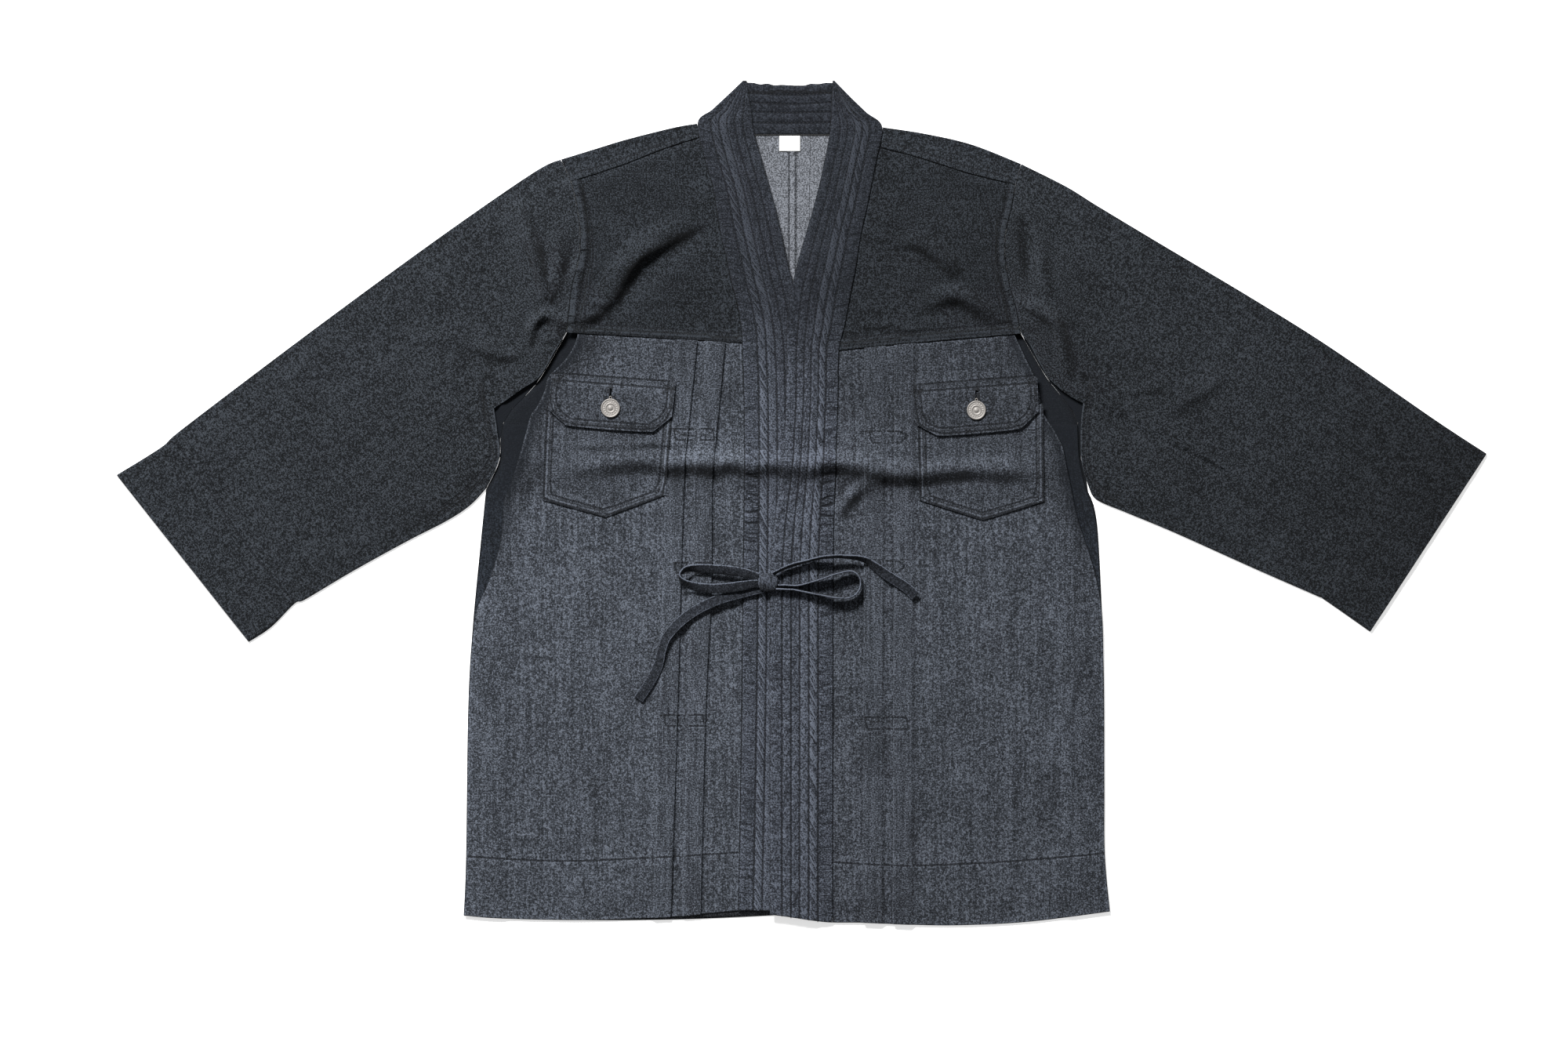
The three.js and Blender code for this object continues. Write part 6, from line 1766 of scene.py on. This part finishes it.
class HAORI_OT_fronts(bpy.types.Operator):
    """The two front panels with their knife pleats"""
    bl_idname = "haori.fronts"
    bl_label = "Fronts"

    def execute(self, context):
        lay(front_piece, denim("fronts", context.scene.haori_cloth), "denim_face", "front_", "back_")
        return {"FINISHED"}


class HAORI_OT_side_panels(bpy.types.Operator):
    """The side panels under the vents"""
    bl_idname = "haori.side_panels"
    bl_label = "Side panels"

    def execute(self, context):
        lay(side_panel_piece, denim("side panels", context.scene.haori_cloth), "denim_side", "side_", "back_")
        return {"FINISHED"}


class HAORI_OT_sleeves(bpy.types.Operator):
    """The two sleeves, tubes pressed flat"""
    bl_idname = "haori.sleeves"
    bl_label = "Sleeves"

    def execute(self, context):
        for side in SIDES.values():
            material = denim(side.name + " sleeve", context.scene.haori_cloth)
            finish(sleeve_piece(side), material, "denim_cross", "sleeve_" + side.name, "laid")
        return {"FINISHED"}


class HAORI_OT_collar(bpy.types.Operator):
    """The quilted collar band in its three stretches"""
    bl_idname = "haori.collar"
    bl_label = "Collar"

    def execute(self, context):
        material = denim("collar", context.scene.haori_cloth)
        lay(band_piece, material, "denim_band", "collar_", "back_")
        finish(neck_band_piece(), material, "denim_band", "collar_neck", "laid")
        return {"FINISHED"}


class HAORI_OT_pockets(bpy.types.Operator):
    """The patch pockets and their flaps"""
    bl_idname = "haori.pockets"
    bl_label = "Pockets"

    def execute(self, context):
        material = denim("pockets", context.scene.haori_cloth)
        for side in SIDES.values():
            finish(pocket_piece(side), material, "denim_face", "pocket_" + side.name, "laid", ["front_" + side.name])
            finish(flap_piece(side), material, "denim_face", "flap_" + side.name, "laid", ["pocket_" + side.name])
        return {"FINISHED"}


class HAORI_OT_buttons(bpy.types.Operator):
    """The two shank buttons"""
    bl_idname = "haori.buttons"
    bl_label = "Buttons"

    def execute(self, context):
        metal = plain_finish("Button metal", context.scene.haori_cloth.metal, 0.55, 0.35, 900, 0.12, 0.00005)
        for side in SIDES.values():
            finish(button_piece(side), metal, "button_metal", "button_" + side.name)
        return {"FINISHED"}


class HAORI_OT_tie(bpy.types.Operator):
    """The tie: two loops, two tails and the knot of a bow"""
    bl_idname = "haori.tie"
    bl_label = "Tie"

    def execute(self, context):
        material = denim("tie", context.scene.haori_cloth)
        for seed, name in enumerate(TIE_STRIPS):
            finish(strip_piece(name, 31 + 3 * seed), material, "denim_band", name, "laid", ["collar_left"])
        finish(knot_piece(), material, "denim_band", "tie_knot")
        return {"FINISHED"}


class HAORI_OT_label(bpy.types.Operator):
    """The plain neck label"""
    bl_idname = "haori.label"
    bl_label = "Neck label"

    def execute(self, context):
        tape = plain_finish("Label tape", context.scene.haori_cloth.label, 0.85, 0.0, 1400, 0.06, 0.0002)
        finish(label_piece(), tape, "label_tape", "neck_label", "laid")
        return {"FINISHED"}


class HAORI_OT_stitches(bpy.types.Operator):
    """Every row of stitches, one piece for each group of rows"""
    bl_idname = "haori.stitches"
    bl_label = "Stitches"

    def execute(self, context):
        sewing = context.scene.haori_sewing
        thread = plain_finish("Thread", sewing.thread, 0.8, 0.0, 2500, 0.5, 0.0)
        groups = {"body": [], "collar": [], "pocket": [], "under": [], "holes": []}

        def sew_on(group, node, line, **where):
            groups[group].append(dropped(bpy.data.objects[node + "_cloth"], line, **where))

        for name, rows in ROWS.items():
            is_back = name.startswith("back")
            for k, places in enumerate(rows):
                below = is_back and k > 0
                sew_on("under" if below else "body", name, row_line(places), below=below)
            if is_back:
                sew_on("body", "back_left", row_line(rows[1]))
        for side in SIDES.values():
            for offset in BAND_ROWS:
                sew_on("collar", "collar_" + side.name, band_row(side, offset))
            for line in pocket_rows(side):
                sew_on("pocket", "pocket_" + side.name, line)
            for line in flap_rows(side):
                sew_on("pocket", "flap_" + side.name, line)
            for ends in slot_row(side):
                sew_on("holes", "flap_" + side.name, Line(ends), sink=-0.1)
        for y in NECK_ROWS:
            share = np.full(40, (y - NECK["seam"]) / (NECK["top"] - NECK["seam"]))
            sew_on("collar", "collar_neck", Line(neck_plan(share, np.linspace(0.03, 0.97, 40)), straight=True))
        for group, rows in groups.items():
            made = sew("stitches_" + group, rows, thread, HOLE_STITCH if group == "holes" else sewing)
            finish(made, None, "denim_band")
        return {"FINISHED"}


class HAORI_OT_stage(bpy.types.Operator):
    """Floor, light and camera"""
    bl_idname = "haori.stage"
    bl_label = "Stage"

    def execute(self, context):
        scene, stage = context.scene, context.scene.haori_stage
        far, low = FLOOR["reach"], -FLOOR["drop"]
        mesh = bpy.data.meshes.new("floor")
        mesh.from_pydata([(-far, -far, low), (far, -far, low), (far, far, low), (-far, far, low)], [], [(0, 1, 2, 3)])
        floor = link_object("floor", mesh)
        paper = plain_finish("Floor", stage.floor, 0.9, 0.0, 3, 0.01, 0.0)
        surface = paper.node_tree.nodes["Principled BSDF"].inputs
        surface["Emission Color"].default_value = rgb(stage.floor)
        surface["Emission Strength"].default_value = FLOOR["glow"]
        mesh.materials.append(paper)
        floor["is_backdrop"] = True
        scene.world = bpy.data.worlds.new("Studio")
        scene.world.use_nodes = True
        sky = scene.world.node_tree.nodes["Background"].inputs
        sky["Color"].default_value, sky["Strength"].default_value = (1, 1, 1, 1), stage.sky
        scene.view_settings.view_transform = "Standard"
        lamp = bpy.data.lights.new("Lamp", "AREA")
        lamp.shape, lamp.energy = "RECTANGLE", stage.lamp
        lamp.size, lamp.size_y = LAMP["length"], LAMP["width"]
        light = link_object("Lamp", lamp)
        light.location = LAMP["place"]
        light.rotation_euler = light.location.to_track_quat("Z", "Y").to_euler()
        lens = bpy.data.cameras.new("Camera")
        lens.lens, lens.sensor_width, lens.clip_end = VIEW["lens"], VIEW["film"], 50
        scene.camera = link_object("Camera", lens)
        distance = VIEW["width"] / VIEW["film"] * VIEW["lens"]
        scene.camera.location = (VIEW["x"], VIEW["y"], VIEW["z"] + distance)
        return {"FINISHED"}


PIECES = (HAORI_OT_backs, HAORI_OT_yokes, HAORI_OT_fronts, HAORI_OT_side_panels, HAORI_OT_sleeves, HAORI_OT_collar,
          HAORI_OT_pockets, HAORI_OT_buttons, HAORI_OT_tie, HAORI_OT_label, HAORI_OT_stitches, HAORI_OT_stage)
SETTINGS = {"haori_cloth": HaoriCloth, "haori_sewing": HaoriSewing, "haori_stage": HaoriStage}


class HAORI_PT_panel(bpy.types.Panel):
    """The haori's settings and pieces"""
    bl_idname = "HAORI_PT_panel"
    bl_label = "Denim haori"
    bl_space_type = "VIEW_3D"
    bl_region_type = "UI"
    bl_category = "Haori"

    def draw(self, context):
        for name, group in SETTINGS.items():
            box = self.layout.box()
            for key in group.__annotations__:
                box.prop(getattr(context.scene, name), key)
        for operator in PIECES:
            self.layout.operator(operator.bl_idname)


def register():
    for kind in (*SETTINGS.values(), *PIECES, HAORI_PT_panel):
        bpy.utils.register_class(kind)
    for name, group in SETTINGS.items():
        setattr(bpy.types.Scene, name, bpy.props.PointerProperty(type=group))


def unregister():
    for name in SETTINGS:
        delattr(bpy.types.Scene, name)
    for kind in reversed((*SETTINGS.values(), *PIECES, HAORI_PT_panel)):
        bpy.utils.unregister_class(kind)


def main():
    register()
    for operator in PIECES:
        space, name = operator.bl_idname.split(".")
        getattr(getattr(bpy.ops, space), name)()
    plain = lambda box: [[float(c) for c in corner] for corner in box]
    {"cad": plain(CAD_BOX), "visual": plain(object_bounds())}


if __name__ == "__main__":
    main()
